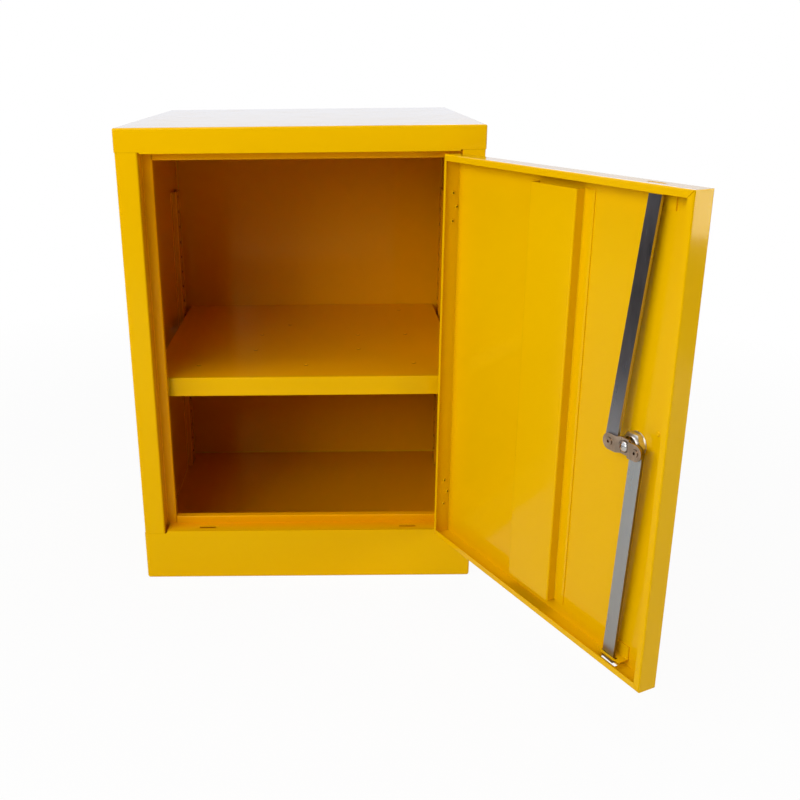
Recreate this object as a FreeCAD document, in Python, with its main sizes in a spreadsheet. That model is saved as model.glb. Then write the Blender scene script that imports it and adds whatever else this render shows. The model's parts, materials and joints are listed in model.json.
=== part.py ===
import FreeCAD, Part

# Flammable safety cabinet: a folded-steel carcass with a spill sump in its base, one shelf
# on clips, and a right-hung door locked top and bottom by two flat bars on a turning cam.
#
# Every piece is drawn in cabinet coordinates: x from the middle of the cabinet to the right,
# y from the front face to the back, z up from the floor. Door pieces are drawn with the door
# closed. Placements then bring the middle of the base to the origin and swing the door open.

import math
import os

import Sketcher
from FreeCAD import Vector

document = FreeCAD.newDocument("SafetyCabinet")
sheet = document.addObject("Spreadsheet::Sheet", "Sizes")
size_names = []
pieces = []


# Sizes and their arithmetic

class Size:
    """A length as a number, to draw a sketch with, and as a formula, to bind it to the sheet."""

    def __init__(self, number, formula):
        self.number = number
        self.formula = formula

    def __add__(self, other):
        other = as_size(other)
        return Size(self.number + other.number, f"({self.formula} + {other.formula})")

    def __sub__(self, other):
        other = as_size(other)
        return Size(self.number - other.number, f"({self.formula} - {other.formula})")

    def __mul__(self, other):
        other = as_size(other)
        return Size(self.number * other.number, f"({self.formula} * {other.formula})")

    def __truediv__(self, other):
        other = as_size(other)
        return Size(self.number / other.number, f"({self.formula} / {other.formula})")

    def __radd__(self, other):
        return as_size(other) + self

    def __rsub__(self, other):
        return as_size(other) - self

    def __rmul__(self, other):
        return as_size(other) * self

    def __neg__(self):
        return as_size(0) - self


def as_size(value):
    """The value as a Size; a plain number becomes its own formula."""
    if isinstance(value, Size):
        return value
    return Size(float(value), f"({float(value)})")


def size(alias, number, meaning):
    """Write one driving dimension into the sheet and return it."""
    size_names.append(alias)
    row = len(size_names)
    sheet.set(f"A{row}", meaning)
    sheet.set(f"B{row}", str(number))
    sheet.setAlias(f"B{row}", alias)
    return Size(number, f"Sizes.{alias}")


def cosine(angle):
    return Size(math.cos(math.radians(angle.number)), f"cos({angle.formula})")


def sine(angle):
    return Size(math.sin(math.radians(angle.number)), f"sin({angle.formula})")


def square_root(value):
    return Size(math.sqrt(value.number), f"sqrt({value.formula})")


# Driving dimensions: the carcass

cab_width = size("cab_width", 450.0, "outside width")
cab_depth = size("cab_depth", 450.0, "outside depth")
cab_height = size("cab_height", 610.0, "outside height")
gauge = size("gauge", 1.0, "thickness of the carcass and door sheet")
seat_gap = size("seat_gap", 0.2, "clearance between nested sheets")
snug_gap = size("snug_gap", 0.05, "radial gap round a piece that is held fast in its hole")
fold = size("fold", 2.0, "outside radius of a sharp fold")
pan_fold = size("pan_fold", 2.4, "outside radius of the top cover's folds and corners")
tray_fold = size("tray_fold", 3.5, "outside radius of the base tray's folds and corners")
fascia_height = size("fascia_height", 28.8, "top cover skirt above the stiles")
fascia_drop = size("fascia_drop", 1.8, "how far the fascia hangs lower over the door opening")
plinth_height = size("plinth_height", 68.8, "base tray walls, up to the foot of the stiles")
sill_rise = size("sill_rise", 3.2, "how far the sill stands above the base tray walls")
notch_slant = size("notch_slant", 1.8, "run of the slanted ends of sill and fascia")
notch_gap = size("notch_gap", 1.5, "gap from sill and fascia ends to the stiles")
stile_width = size("stile_width", 28.5, "stile face from the cabinet side to the opening")
rebate_depth = size("rebate_depth", 25.0, "depth of the recess that the door closes into")
stop_width = size("stop_width", 12.8, "width of the door-stop flange of a stile")
stop_return = size("stop_return", 8.0, "return behind the stop flanges and lips")
head_lip = size("head_lip", 10.0, "lip hanging behind the fascia")
sill_lip = size("sill_lip", 10.8, "lip standing behind the sill")
rear_flange = size("rear_flange", 15.0, "flange of a side panel behind the back panel")
rear_fold = size("rear_fold", 4.0, "outside radius of a side panel's rear fold")

# Driving dimensions: uprights, shelf and clips

upright_width = size("upright_width", 35.0, "face width of a shelf upright")
upright_depth = size("upright_depth", 8.0, "how far an upright stands off the side panel")
upright_foot = size("upright_foot", 8.0, "width of an upright's welding feet")
upright_headroom = size("upright_headroom", 125.0, "from the cabinet top to the upright's end")
upright_rear_gap = size("upright_rear_gap", 29.0, "from the back panel to a rear upright")
upright_front_gap = size("upright_front_gap", 26.0, "from the stop returns to a front upright")
hole_pitch = size("hole_pitch", 25.0, "spacing of the shelf clip holes")
hole_radius = size("hole_radius", 2.5, "radius of a shelf clip hole")
first_hole = size("first_hole", 26.0, "height of the lowest shelf clip hole")
shelf_hole = size("shelf_hole", 9.0, "which hole above the lowest one the clips sit in")
shelf_height = size("shelf_height", 25.5, "height of the shelf's turned-down edges")
shelf_front = size("shelf_front", 41.0, "from the cabinet's front face to the shelf")
shelf_side_gap = size("shelf_side_gap", 3.5, "gap from the shelf to an upright's face")
shelf_rear_gap = size("shelf_rear_gap", 1.0, "gap from the shelf to the back panel")
shelf_return = size("shelf_return", 12.0, "return under the shelf's front and rear edges")
rib_first = size("rib_first", 99.0, "from the cabinet's front face to the first weld line")
rib_span = size("rib_span", 74.0, "between the two weld lines of a shelf stiffener")
rib_step = size("rib_step", 152.0, "between the two shelf stiffeners")
rib_foot = size("rib_foot", 12.0, "width of a shelf stiffener's feet")
rib_depth = size("rib_depth", 18.0, "depth of a shelf stiffener")
rib_side_gap = size("rib_side_gap", 11.5, "from the shelf's side to a stiffener's end")
clip_width = size("clip_width", 12.0, "width of a shelf clip")
clip_reach = size("clip_reach", 12.0, "how far a clip reaches under the shelf")
clip_drop = size("clip_drop", 12.5, "height of a clip's back leg")
clip_gauge = size("clip_gauge", 1.5, "thickness of a shelf clip")
clip_rise = size("clip_rise", 4.5, "from the hole's centre to the clip's top face")
peg_radius = size("peg_radius", 2.3, "radius of a clip's peg")
peg_reach = size("peg_reach", 4.0, "how far a peg reaches behind the upright's face")

# Driving dimensions: the door and its hinges

door_open = size("door_open", 116.27, "opening angle of the door at rest, in degrees")
door_gap = size("door_gap", 2.0, "gap all round the closed door")
stop_gap = size("stop_gap", 1.6, "gap from the closed door to the stop flanges")
door_fold = size("door_fold", 1.6, "outside radius of the door's folds")
door_lip = size("door_lip", 7.5, "lip along the top, the bottom and the free edge")
hinge_lip = size("hinge_lip", 5.0, "lip along the hinge edge")
mitre_gap = size("mitre_gap", 0.4, "open mitre between two lips")
brace_start = size("brace_start", 154.0, "from the hinge edge to the stiffener's web")
brace_width = size("brace_width", 74.0, "width of the stiffener's web")
brace_depth = size("brace_depth", 12.4, "how far the web stands off the skin")
brace_foot = size("brace_foot", 15.0, "width of the stiffener's feet")
brace_gap = size("brace_gap", 17.0, "from the stiffener's ends to the door's ends")
hinge_out = size("hinge_out", 3.2, "from the front face out to the hinge axis")
knuckle_radius = size("knuckle_radius", 3.0, "radius of a hinge knuckle")
pin_radius = size("pin_radius", 1.5, "radius of a hinge pin")
pin_play = size("pin_play", 0.06, "radial clearance of a hinge pin")
pin_head = size("pin_head", 2.4, "radius of a hinge pin's heads")
pin_head_height = size("pin_head_height", 1.0, "thickness of a hinge pin's heads")
leaf_length = size("leaf_length", 51.0, "height of a hinge leaf")
leaf_width = size("leaf_width", 15.0, "how far a leaf reaches into the rebate")
leaf_gauge = size("leaf_gauge", 0.9, "thickness of a hinge leaf")
knuckle_gap = size("knuckle_gap", 0.2, "running gap between two knuckles")
hinge_high = size("hinge_high", 63.4, "from the door's top to the upper hinge's middle")
hinge_low = size("hinge_low", 60.0, "from the door's bottom to the lower hinge's middle")
rivet_radius = size("rivet_radius", 1.6, "shank radius of a hinge rivet")
rivet_head = size("rivet_head", 2.2, "head radius of a hinge rivet")
rivet_head_height = size("rivet_head_height", 0.8, "head height of a hinge rivet")
rivet_spread = size("rivet_spread", 17.0, "from the hinge's middle to its outer rivets")
rivet_near = size("rivet_near", 4.0, "depth of the middle rivet behind the front face")
rivet_far = size("rivet_far", 9.4, "depth of the outer rivets behind the front face")

# Driving dimensions: the lock, its two bars and their guides

lock_inset = size("lock_inset", 58.0, "from the door's free edge to the lock axis")
lock_height = size("lock_height", 322.0, "height of the lock axis above the floor")
slot_inset = size("slot_inset", 56.0, "from the door's free edge to the middle of the slots")
slot_depth = size("slot_depth", 11.5, "from the front face to the middle of the slots")
slot_gap = size("slot_gap", 1.0, "gap on a bar's faces in the slots of sill, head and door")
slot_play = size("slot_play", 1.11, "gap left at a slot's end when its bar swings furthest")
throw = size("throw", 18.0, "from the lock axis to each bar's pivot, and the bars' travel")
bar_width = size("bar_width", 16.0, "width of a locking bar")
bar_gauge = size("bar_gauge", 3.0, "thickness of a locking bar")
bar_pivot_depth = size("bar_pivot_depth", 17.6, "from the front face to a bar's middle at its pivot")
bar_back = size("bar_back", 1.0, "from a bar's end to the inside of the door's flange")
cam_gauge = size("cam_gauge", 2.0, "thickness of the cam plate")
cam_width = size("cam_width", 17.0, "width of the cam plate")
cam_gap = size("cam_gap", 0.3, "running gap between cam plate and bars")
cam_joggle = size("cam_joggle", 4.0, "how deep the cam plate's middle is set back")
joggle_gap = size("joggle_gap", 0.7, "gap from a bar's eye to the cam's slant")
joggle_run = size("joggle_run", 3.0, "run of a joggle's slant")
spindle_radius = size("spindle_radius", 4.5, "radius of the spindle")
spindle_play = size("spindle_play", 0.08, "radial clearance of the spindle in its barrel")
barrel_radius = size("barrel_radius", 9.4, "radius of the lock's threaded barrel")
barrel_reach = size("barrel_reach", 11.0, "from the front face to the barrel's inner end")
washer_radius = size("washer_radius", 15.0, "radius of the lock washer")
washer_gauge = size("washer_gauge", 1.2, "thickness of the lock washer")
nut_flats = size("nut_flats", 24.0, "width across the flats of the lock nut")
nut_height = size("nut_height", 6.8, "height of the lock nut")
rose_radius = size("rose_radius", 19.0, "radius of the outer rose")
rose_gauge = size("rose_gauge", 2.5, "thickness of the outer rose")
knob_radius = size("knob_radius", 14.0, "radius of the knob's round base")
knob_base = size("knob_base", 6.0, "height of the knob's round base")
wing_length = size("wing_length", 42.0, "length of the knob's wing")
wing_width = size("wing_width", 15.0, "width of the knob's wing")
wing_height = size("wing_height", 13.0, "height of the knob's wing")
plug_radius = size("plug_radius", 5.8, "radius of the key plug")
plug_length = size("plug_length", 12.0, "length of the key plug")
keyway_width = size("keyway_width", 1.4, "width of the keyway")
keyway_height = size("keyway_height", 7.0, "height of the keyway")
screw_radius = size("screw_radius", 2.5, "shank radius of the cam screw")
screw_head = size("screw_head", 5.0, "head radius of the cam screw")
screw_dome = size("screw_dome", 2.4, "head height of the cam screw")
screw_length = size("screw_length", 8.0, "length of the cam screw in the spindle")
pivot_radius = size("pivot_radius", 2.9, "shank radius of a pivot rivet")
pivot_play = size("pivot_play", 0.08, "radial clearance of a pivot rivet in its bar")
pivot_bore = size("pivot_bore", 1.5, "bore radius of a pivot rivet")
pivot_head = size("pivot_head", 4.2, "head radius of a pivot rivet")
pivot_head_height = size("pivot_head_height", 1.0, "head height of a pivot rivet")
guide_gauge = size("guide_gauge", 1.5, "thickness of a bar guide")
guide_width = size("guide_width", 34.0, "width of a bar guide")
guide_nose = size("guide_nose", 18.0, "width of a bar guide's front edge")
guide_bevel = size("guide_bevel", 3.0, "depth of a bar guide's bevelled corners")
guide_reach = size("guide_reach", 15.0, "how far a bar guide stands off the skin")
guide_leg = size("guide_leg", 16.0, "height of a bar guide's leg on the skin")
guide_gap = size("guide_gap", 8.0, "from the door's end to a bar guide's plate")
guide_play = size("guide_play", 0.37, "gap on a bar's faces in the slot of its guide")


# Sizes that follow from them

half_width = cab_width / 2
wall_out = half_width - gauge
wall_in = wall_out - gauge
opening_half = half_width - stile_width
stop_half = opening_half - stop_width
head_level = cab_height - fascia_height
soffit_level = head_level - fascia_drop
sill_level = plinth_height + sill_rise
back_face = cab_depth - gauge * 3
tray_floor = tray_fold + seat_gap
door_depth = rebate_depth - stop_gap
door_half = opening_half - door_gap
door_low = sill_level + door_gap
door_high = soffit_level - door_gap
hinge_x = opening_half - door_gap / 2
lock_x = lock_inset - door_half
slot_x = slot_inset - door_half
# While the lock turns, a bar's end swings to one side by about a fifth of the throw.
bar_swing = throw * 0.21
bar_skew = bar_swing / 2
slot_length = bar_width + bar_swing + slot_play * 2
slot_width = bar_gauge + slot_gap * 2
upright_face = wall_in - upright_depth
clip_hole_level = first_hole + hole_pitch * shelf_hole
shelf_low = clip_hole_level + clip_rise
shelf_high = shelf_low + shelf_height
shelf_half = upright_face - shelf_side_gap
shelf_rear = back_face - shelf_rear_gap
rear_upright_y = back_face - upright_rear_gap - upright_width / 2
front_upright_y = rebate_depth + gauge + stop_return + upright_front_gap + upright_width / 2
hinge_levels = {"upper": door_high - hinge_high, "lower": door_low + hinge_low}
bar_face = bar_pivot_depth + bar_gauge / 2
cam_inner = bar_face + cam_gap
cam_recess = cam_inner - cam_joggle
joggle_start = throw - bar_width / 2 - joggle_run - joggle_gap


# Drawing helpers

class Drawing:
    """A sketch on one origin plane of a body, at a level along that plane's world axis."""

    def __init__(self, body, plane, level):
        self.body = body
        self.plane = plane
        self.sketch = body.newObject("Sketcher::SketchObject", "Drawing")
        origin_plane = next(f for f in body.Origin.OriginFeatures if f.Role == plane + "_Plane")
        self.sketch.AttachmentSupport = [(origin_plane, "")]
        self.sketch.MapMode = "FlatFace"
        level = as_size(level)
        if plane == "XZ":
            level = -level
        self.sketch.setExpression("AttachmentOffset.Base.z", level.formula)

    def bind(self, geometry, point, place):
        """Tie one point of the drawing to the sheet."""
        for kind, value in zip(("DistanceX", "DistanceY"), place):
            value = as_size(value)
            rule = Sketcher.Constraint(kind, -1, 1, geometry, point, value.number)
            index = self.sketch.addConstraint(rule)
            self.sketch.setExpression(f"Constraints[{index}]", value.formula)

    def circle(self, centre, radius):
        radius = as_size(radius)
        middle = Vector(centre[0].number, centre[1].number, 0)
        shape = Part.Circle(middle, Vector(0, 0, 1), radius.number)
        geometry = self.sketch.addGeometry(shape, False)
        self.bind(geometry, 3, centre)
        index = self.sketch.addConstraint(Sketcher.Constraint("Radius", geometry, radius.number))
        self.sketch.setExpression(f"Constraints[{index}]", radius.formula)

    def octagon(self, centre, radius):
        """A small hole drawn with eight sides."""
        corners = []
        for place in range(8):
            angle = math.radians(45 * place)
            corners.append((
                centre[0] + radius * round(math.cos(angle), 6),
                centre[1] + radius * round(math.sin(angle), 6),
            ))
        self.polygon(corners)

    def axis(self, start, end):
        """A construction line to turn a profile about."""
        ends = [Vector(as_size(p[0]).number, as_size(p[1]).number, 0) for p in (start, end)]
        geometry = self.sketch.addGeometry(Part.LineSegment(*ends), True)
        self.bind(geometry, 1, start)
        self.bind(geometry, 2, end)

    def polygon(self, corners):
        """A closed outline with straight sides and sharp corners."""
        corners = [(as_size(x), as_size(y)) for x, y in corners]
        first = self.sketch.GeometryCount
        count = len(corners)
        for place, (start, end) in enumerate(zip(corners, corners[1:] + corners[:1])):
            ends = [Vector(p[0].number, p[1].number, 0) for p in (start, end)]
            self.sketch.addGeometry(Part.LineSegment(*ends), False)
        for place, corner in enumerate(corners):
            after = first + (place + 1) % count
            self.sketch.addConstraint(Sketcher.Constraint("Coincident", first + place, 2, after, 1))
            self.bind(first + place, 1, corner)

    def rounded(self, corners, radii):
        """A closed outline along the two axes, each corner sharp (radius 0) or rounded."""
        corners = [(as_size(x), as_size(y)) for x, y in corners]
        count = len(corners)
        ways = []
        for place in range(count):
            start = corners[place]
            end = corners[(place + 1) % count]
            ways.append(direction(start, end))
        sides = []
        for place in range(count):
            after = (place + 1) % count
            start = step(corners[place], ways[place], radii[place])
            end = step(corners[after], ways[place], -as_size(radii[after]))
            ends = [Vector(p[0].number, p[1].number, 0) for p in (start, end)]
            side = self.sketch.addGeometry(Part.LineSegment(*ends), False)
            sides.append(side)
            self.bind(side, 1, start)
            if as_size(radii[after]).number > 0:
                self.bind(side, 2, end)
        for place in range(count):
            before = sides[place - 1]
            if as_size(radii[place]).number == 0:
                rule = Sketcher.Constraint("Coincident", before, 2, sides[place], 1)
                self.sketch.addConstraint(rule)
                continue
            self.corner_arc(corners[place], ways[place - 1], ways[place], radii[place],
                            before, sides[place])

    def corner_arc(self, corner, way_in, way_out, radius, side_in, side_out):
        """The quarter circle that joins two sides of a rounded outline."""
        radius = as_size(radius)
        middle = step(step(corner, way_in, -radius), way_out, radius)
        left_turn = way_in[0] * way_out[1] - way_in[1] * way_out[0] > 0
        if left_turn:
            begin = math.atan2(-way_out[1], -way_out[0])
        else:
            begin = math.atan2(way_in[1], way_in[0])
        centre = Vector(middle[0].number, middle[1].number, 0)
        circle = Part.Circle(centre, Vector(0, 0, 1), radius.number)
        arc = self.sketch.addGeometry(Part.ArcOfCircle(circle, begin, begin + math.pi / 2), False)
        first_end, last_end = (1, 2) if left_turn else (2, 1)
        self.sketch.addConstraint(Sketcher.Constraint("Tangent", side_in, 2, arc, first_end))
        self.sketch.addConstraint(Sketcher.Constraint("Coincident", arc, last_end, side_out, 1))

    def rectangle(self, low, high, radius=0):
        corners = [(low[0], low[1]), (high[0], low[1]), (high[0], high[1]), (low[0], high[1])]
        self.rounded(corners, [radius] * 4)

    def slot(self, centre, length, width):
        """A punched slot along the first axis, with square corners."""
        low = (centre[0] - length / 2, centre[1] - width / 2)
        high = (centre[0] + length / 2, centre[1] + width / 2)
        self.rectangle(low, high)

    def folded_strip(self, path, side, thickness, bends):
        """The section of a folded sheet: one face follows the path, the sheet lies to its side."""
        path = [(as_size(x), as_size(y)) for x, y in path]
        ways = [direction(a, b) for a, b in zip(path, path[1:])]
        normals = [(-way[1] * side, way[0] * side) for way in ways]
        face = [(corner, 0) for corner in path]
        back = [(step(path[0], normals[0], thickness), 0)]
        for place, bend in enumerate(bends, start=1):
            way_in, way_out = ways[place - 1], ways[place]
            turn = way_in[0] * way_out[1] - way_in[1] * way_out[0]
            inner_bend = bend - thickness
            toward_sheet = turn * side > 0
            corner = step(step(path[place], normals[place - 1], thickness), normals[place], thickness)
            face[place] = (path[place], bend if toward_sheet else inner_bend)
            back.append((corner, inner_bend if toward_sheet else bend))
        back.append((step(path[-1], normals[-1], thickness), 0))
        outline = face + back[::-1]
        self.rounded([corner for corner, radius in outline], [radius for corner, radius in outline])

    def pad(self, length):
        """Raise the drawing towards the positive end of its axis."""
        feature = self.body.newObject("PartDesign::Pad", "Pad")
        feature.Profile = self.sketch
        feature.setExpression("Length", as_size(length).formula)
        feature.Reversed = self.plane == "XZ"
        return feature

    def pocket(self, depth):
        """Cut the drawing away towards the positive end of its axis."""
        feature = self.body.newObject("PartDesign::Pocket", "Pocket")
        feature.Profile = self.sketch
        feature.setExpression("Length", as_size(depth).formula)
        feature.Reversed = self.plane != "XZ"
        return feature

    def turn(self, kind):
        """Turn the drawing about its own axis line, as a Revolution or a Groove."""
        feature = self.body.newObject("PartDesign::" + kind, kind)
        feature.Profile = self.sketch
        feature.ReferenceAxis = (self.sketch, ["Axis0"])
        feature.Angle = 360.0
        return feature


def direction(start, end):
    """The unit step from one corner to the next, along one of the two axes."""
    run = end[0].number - start[0].number
    rise = end[1].number - start[1].number
    if abs(run) > abs(rise):
        return (int(math.copysign(1, run)), 0)
    return (0, int(math.copysign(1, rise)))


def step(corner, way, distance):
    """The corner moved along one of the two axes."""
    return (corner[0] + distance * way[0], corner[1] + distance * way[1])


def make_body(name):
    body = document.addObject("PartDesign::Body", name)
    body.Label = name
    return body


def flat_edges(axis, level):
    """A test for edges that lie wholly at one level of an axis."""
    def test(edge):
        box = edge.BoundBox
        low = getattr(box, axis + "Min")
        high = getattr(box, axis + "Max")
        return abs(low - level.number) < 0.001 and abs(high - level.number) < 0.001
    return test


def long_edges(axis):
    """A test for straight edges along an axis."""
    def test(edge):
        box = edge.BoundBox
        spans = {name: getattr(box, name + "Length") for name in "XYZ"}
        return all((spans[name] > 0.001) == (name == axis) for name in "XYZ")
    return test


def round_edges(body, radius, test):
    """Round every edge of the body so far that passes the test."""
    document.recompute()
    base = body.Tip
    names = [f"Edge{n}" for n, edge in enumerate(base.Shape.Edges, start=1) if test(edge)]
    feature = body.newObject("PartDesign::Fillet", "Fillet")
    feature.Base = (base, names)
    feature.setExpression("Radius", as_size(radius).formula)


def bevel_edges(body, width, test):
    """Bevel every edge of the body so far that passes the test."""
    document.recompute()
    base = body.Tip
    names = [f"Edge{n}" for n, edge in enumerate(base.Shape.Edges, start=1) if test(edge)]
    feature = body.newObject("PartDesign::Chamfer", "Chamfer")
    feature.Base = (base, names)
    feature.setExpression("Size", as_size(width).formula)


def stand(piece):
    """Bring a carcass piece from cabinet coordinates to the origin at the base's middle."""
    piece.setExpression("Placement.Base.y", (-(cab_depth / 2)).formula)
    pieces.append(piece)


def hang(piece):
    """Swing a door piece about the hinge axis, from closed to its angle at rest."""
    turned_x = hinge_x * cosine(door_open) + hinge_out * sine(door_open)
    turned_y = hinge_x * sine(door_open) - hinge_out * cosine(door_open)
    piece.Placement.Rotation = FreeCAD.Rotation(Vector(0, 0, 1), door_open.number)
    piece.setExpression("Placement.Rotation.Angle", door_open.formula)
    piece.setExpression("Placement.Base.x", (hinge_x - turned_x).formula)
    piece.setExpression("Placement.Base.y", (-hinge_out - turned_y - cab_depth / 2).formula)
    pieces.append(piece)


def cylinder(start, radius, length):
    """A loose cylinder from its start point to the back."""
    solid = document.addObject("Part::Cylinder", "Cylinder")
    solid.Placement.Rotation = FreeCAD.Rotation(Vector(0, 0, 1), Vector(0, 1, 0))
    for name, value in zip("xyz", start):
        solid.setExpression("Placement.Base." + name, as_size(value).formula)
    solid.setExpression("Radius", as_size(radius).formula)
    solid.setExpression("Height", as_size(length).formula)
    return solid


def stud(start, radius, length):
    """A loose eight-sided stud from its start point to the right."""
    solid = document.addObject("Part::Prism", "Stud")
    solid.Polygon = 8
    solid.Placement.Rotation = FreeCAD.Rotation(Vector(0, 0, 1), Vector(1, 0, 0))
    for name, value in zip("xyz", start):
        solid.setExpression("Placement.Base." + name, as_size(value).formula)
    solid.setExpression("Circumradius", as_size(radius).formula)
    solid.setExpression("Height", as_size(length).formula)
    return solid


def fuse(solids):
    joined = document.addObject("Part::MultiFuse", "Fused")
    joined.Shapes = solids
    return joined


def group(name, solids):
    """Several separate solids under one name."""
    compound = document.addObject("Part::Compound", name)
    compound.Label = name
    compound.Links = solids
    return compound


# Carcass

def make_top_cover():
    """A turned-down pan; its front skirt drops over the opening and folds back as the head."""
    body = make_body("top_cover")
    block = Drawing(body, "XY", head_level)
    block.rectangle((-half_width, as_size(0)), (half_width, cab_depth), pan_fold)
    block.pad(fascia_height)
    hollow = Drawing(body, "XY", head_level)
    hollow.rectangle((-wall_out, gauge), (wall_out, cab_depth - gauge), pan_fold - gauge)
    hollow.pocket(fascia_height - gauge)
    round_edges(body, pan_fold, flat_edges("Z", cab_height))
    head_half = opening_half - notch_gap
    drop = Drawing(body, "XZ", 0)
    drop.polygon([
        (-head_half, head_level + gauge),
        (-head_half, head_level),
        (-head_half + notch_slant, soffit_level),
        (head_half - notch_slant, soffit_level),
        (head_half, head_level),
        (head_half, head_level + gauge),
    ])
    drop.pad(gauge)
    soffit = Drawing(body, "XY", soffit_level)
    soffit.rectangle((notch_slant - head_half, gauge / 2), (head_half - notch_slant, rebate_depth))
    soffit.pad(gauge)
    lip_half = stop_half - seat_gap
    lip = Drawing(body, "YZ", -lip_half)
    lip_foot = soffit_level - head_lip
    lip.folded_strip(
        [
            (rebate_depth - gauge, soffit_level),
            (rebate_depth, soffit_level),
            (rebate_depth, lip_foot),
            (rebate_depth + gauge + stop_return, lip_foot),
        ],
        1, gauge, [gauge, gauge * 1.5],
    )
    lip.pad(lip_half * 2)
    cut_frame_slots(body, soffit_level)
    stand(body)


def cut_frame_slots(body, level):
    """The slots that take the bars' ends, on both sides so that the frame suits either hand."""
    for side in (-1, 1):
        slot = Drawing(body, "XY", level - gauge)
        slot.slot((slot_x * -side, slot_depth), slot_length, slot_width)
        slot.pocket(gauge * 3)


def make_base_tray():
    """Plinth and spill sump in one pan; its front wall rises and folds back as the sill."""
    body = make_body("base_tray")
    block = Drawing(body, "XY", 0)
    block.rectangle((-half_width, as_size(0)), (half_width, cab_depth), tray_fold)
    block.pad(plinth_height)
    hollow = Drawing(body, "XY", gauge)
    hollow.rectangle((-wall_out, gauge), (wall_out, cab_depth - gauge), tray_fold - gauge)
    hollow.pocket(plinth_height)
    round_edges(body, tray_fold - gauge, flat_edges("Z", gauge))
    round_edges(body, tray_fold, flat_edges("Z", as_size(0)))
    sill_half = opening_half - notch_gap
    rise = Drawing(body, "XZ", 0)
    rise.polygon([
        (-sill_half, plinth_height - gauge),
        (-sill_half, plinth_height),
        (-sill_half + notch_slant, sill_level),
        (sill_half - notch_slant, sill_level),
        (sill_half, plinth_height),
        (sill_half, plinth_height - gauge),
    ])
    rise.pad(gauge)
    sill = Drawing(body, "XY", sill_level - gauge)
    sill.rectangle((notch_slant - sill_half, gauge / 2), (sill_half - notch_slant, rebate_depth))
    sill.pad(gauge)
    lip_half = stop_half - seat_gap
    lip = Drawing(body, "YZ", -lip_half)
    lip_top = sill_level + sill_lip
    lip.folded_strip(
        [
            (rebate_depth - gauge, sill_level),
            (rebate_depth, sill_level),
            (rebate_depth, lip_top),
            (rebate_depth + gauge + stop_return, lip_top),
        ],
        -1, gauge, [gauge, gauge * 1.5],
    )
    lip.pad(lip_half * 2)
    cut_frame_slots(body, sill_level - gauge)
    stand(body)


def make_side_panel(name, side):
    """One folded sheet: rear flange, wall, stile, rebate, door stop and its return."""
    body = make_body(name)
    low = tray_floor
    high = cab_height - gauge - seat_gap
    panel = Drawing(body, "XY", low)
    panel.folded_strip(
        [
            ((wall_out - rear_flange) * side, cab_depth - gauge),
            (wall_out * side, cab_depth - gauge),
            (wall_out * side, 0),
            (opening_half * side, 0),
            (opening_half * side, rebate_depth),
            (stop_half * side, rebate_depth),
            (stop_half * side, rebate_depth + gauge + stop_return),
        ],
        -side, gauge, [rear_fold, fold, fold, fold, fold],
    )
    panel.pad(high - low)
    # Above and below the stile the face folds are cut away, so the wall slides into the pans.
    front = tray_fold + gauge
    behind = rebate_depth + gauge * 2 + stop_return
    for start, length in ((low - gauge, plinth_height + seat_gap - low + gauge),
                          (head_level - seat_gap, high - head_level + gauge)):
        notch = Drawing(body, "XY", start)
        notch.polygon([
            ((half_width + gauge) * side, -gauge),
            ((half_width + gauge) * side, front),
            ((wall_in - gauge / 2) * side, front),
            ((wall_in - gauge / 2) * side, behind),
            ((stop_half - gauge) * side, behind),
            ((stop_half - gauge) * side, -gauge),
        ])
        notch.pocket(length)
    if side > 0:
        cut_rivet_holes(body, opening_half - gauge)
    stand(body)


def make_back_panel():
    """A flat sheet lapped inside the rear flanges of the side panels, clear of their folds."""
    body = make_body("back_panel")
    half = wall_out - rear_fold - seat_gap
    panel = Drawing(body, "XZ", back_face)
    panel.rectangle((-half, tray_floor), (half, cab_height - gauge - seat_gap))
    panel.pad(gauge)
    stand(body)


def make_upright(name, side, middle):
    """A top-hat strip on the side wall with a column of holes for the shelf clips."""
    body = make_body(name)
    low = tray_floor
    high = cab_height - upright_headroom
    near = middle - upright_width / 2
    far = middle + upright_width / 2
    foot_face = (wall_in - gauge) * side
    face = upright_face * side
    strip = Drawing(body, "XY", low)
    strip.folded_strip(
        [
            (foot_face, near - upright_foot),
            (foot_face, near),
            (face, near),
            (face, far),
            (foot_face, far),
            (foot_face, far + upright_foot),
        ],
        -side, gauge, [fold, fold, fold, fold],
    )
    strip.pad(high - low)
    hole = Drawing(body, "YZ", upright_face - gauge if side > 0 else -upright_face - gauge * 2)
    hole.octagon((middle, first_hole), hole_radius)
    first = hole.pocket(gauge * 3)
    document.recompute()
    column = body.newObject("PartDesign::LinearPattern", "Holes")
    column.Originals = [first]
    column.Direction = (hole.sketch, ["V_Axis"])
    steps = f"floor(({high.formula} - {first_hole.formula} - {hole_pitch.formula} / 4)"
    steps = steps + f" / {hole_pitch.formula})"
    column.setExpression("Length", f"{steps} * {hole_pitch.formula}")
    column.setExpression("Occurrences", f"{steps} + 1")
    body.Tip = column
    stand(body)


# Shelf

def make_shelf():
    """A turned-down tray with returns under its front and rear edges."""
    body = make_body("shelf")
    block = Drawing(body, "XY", shelf_low)
    block.rectangle((-shelf_half, shelf_front), (shelf_half, shelf_rear), fold)
    block.pad(shelf_height)
    hollow = Drawing(body, "XY", shelf_low)
    hollow.rectangle(
        (gauge - shelf_half, shelf_front + gauge),
        (shelf_half - gauge, shelf_rear - gauge),
        fold - gauge,
    )
    hollow.pocket(shelf_height - gauge)
    round_edges(body, fold, flat_edges("Z", shelf_high))
    for start in (shelf_front + gauge / 2, shelf_rear - gauge / 2 - shelf_return):
        edge = Drawing(body, "XY", shelf_low)
        edge.rectangle((fold - shelf_half, start), (shelf_half - fold, start + shelf_return))
        edge.pad(gauge)
    stand(body)


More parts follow.
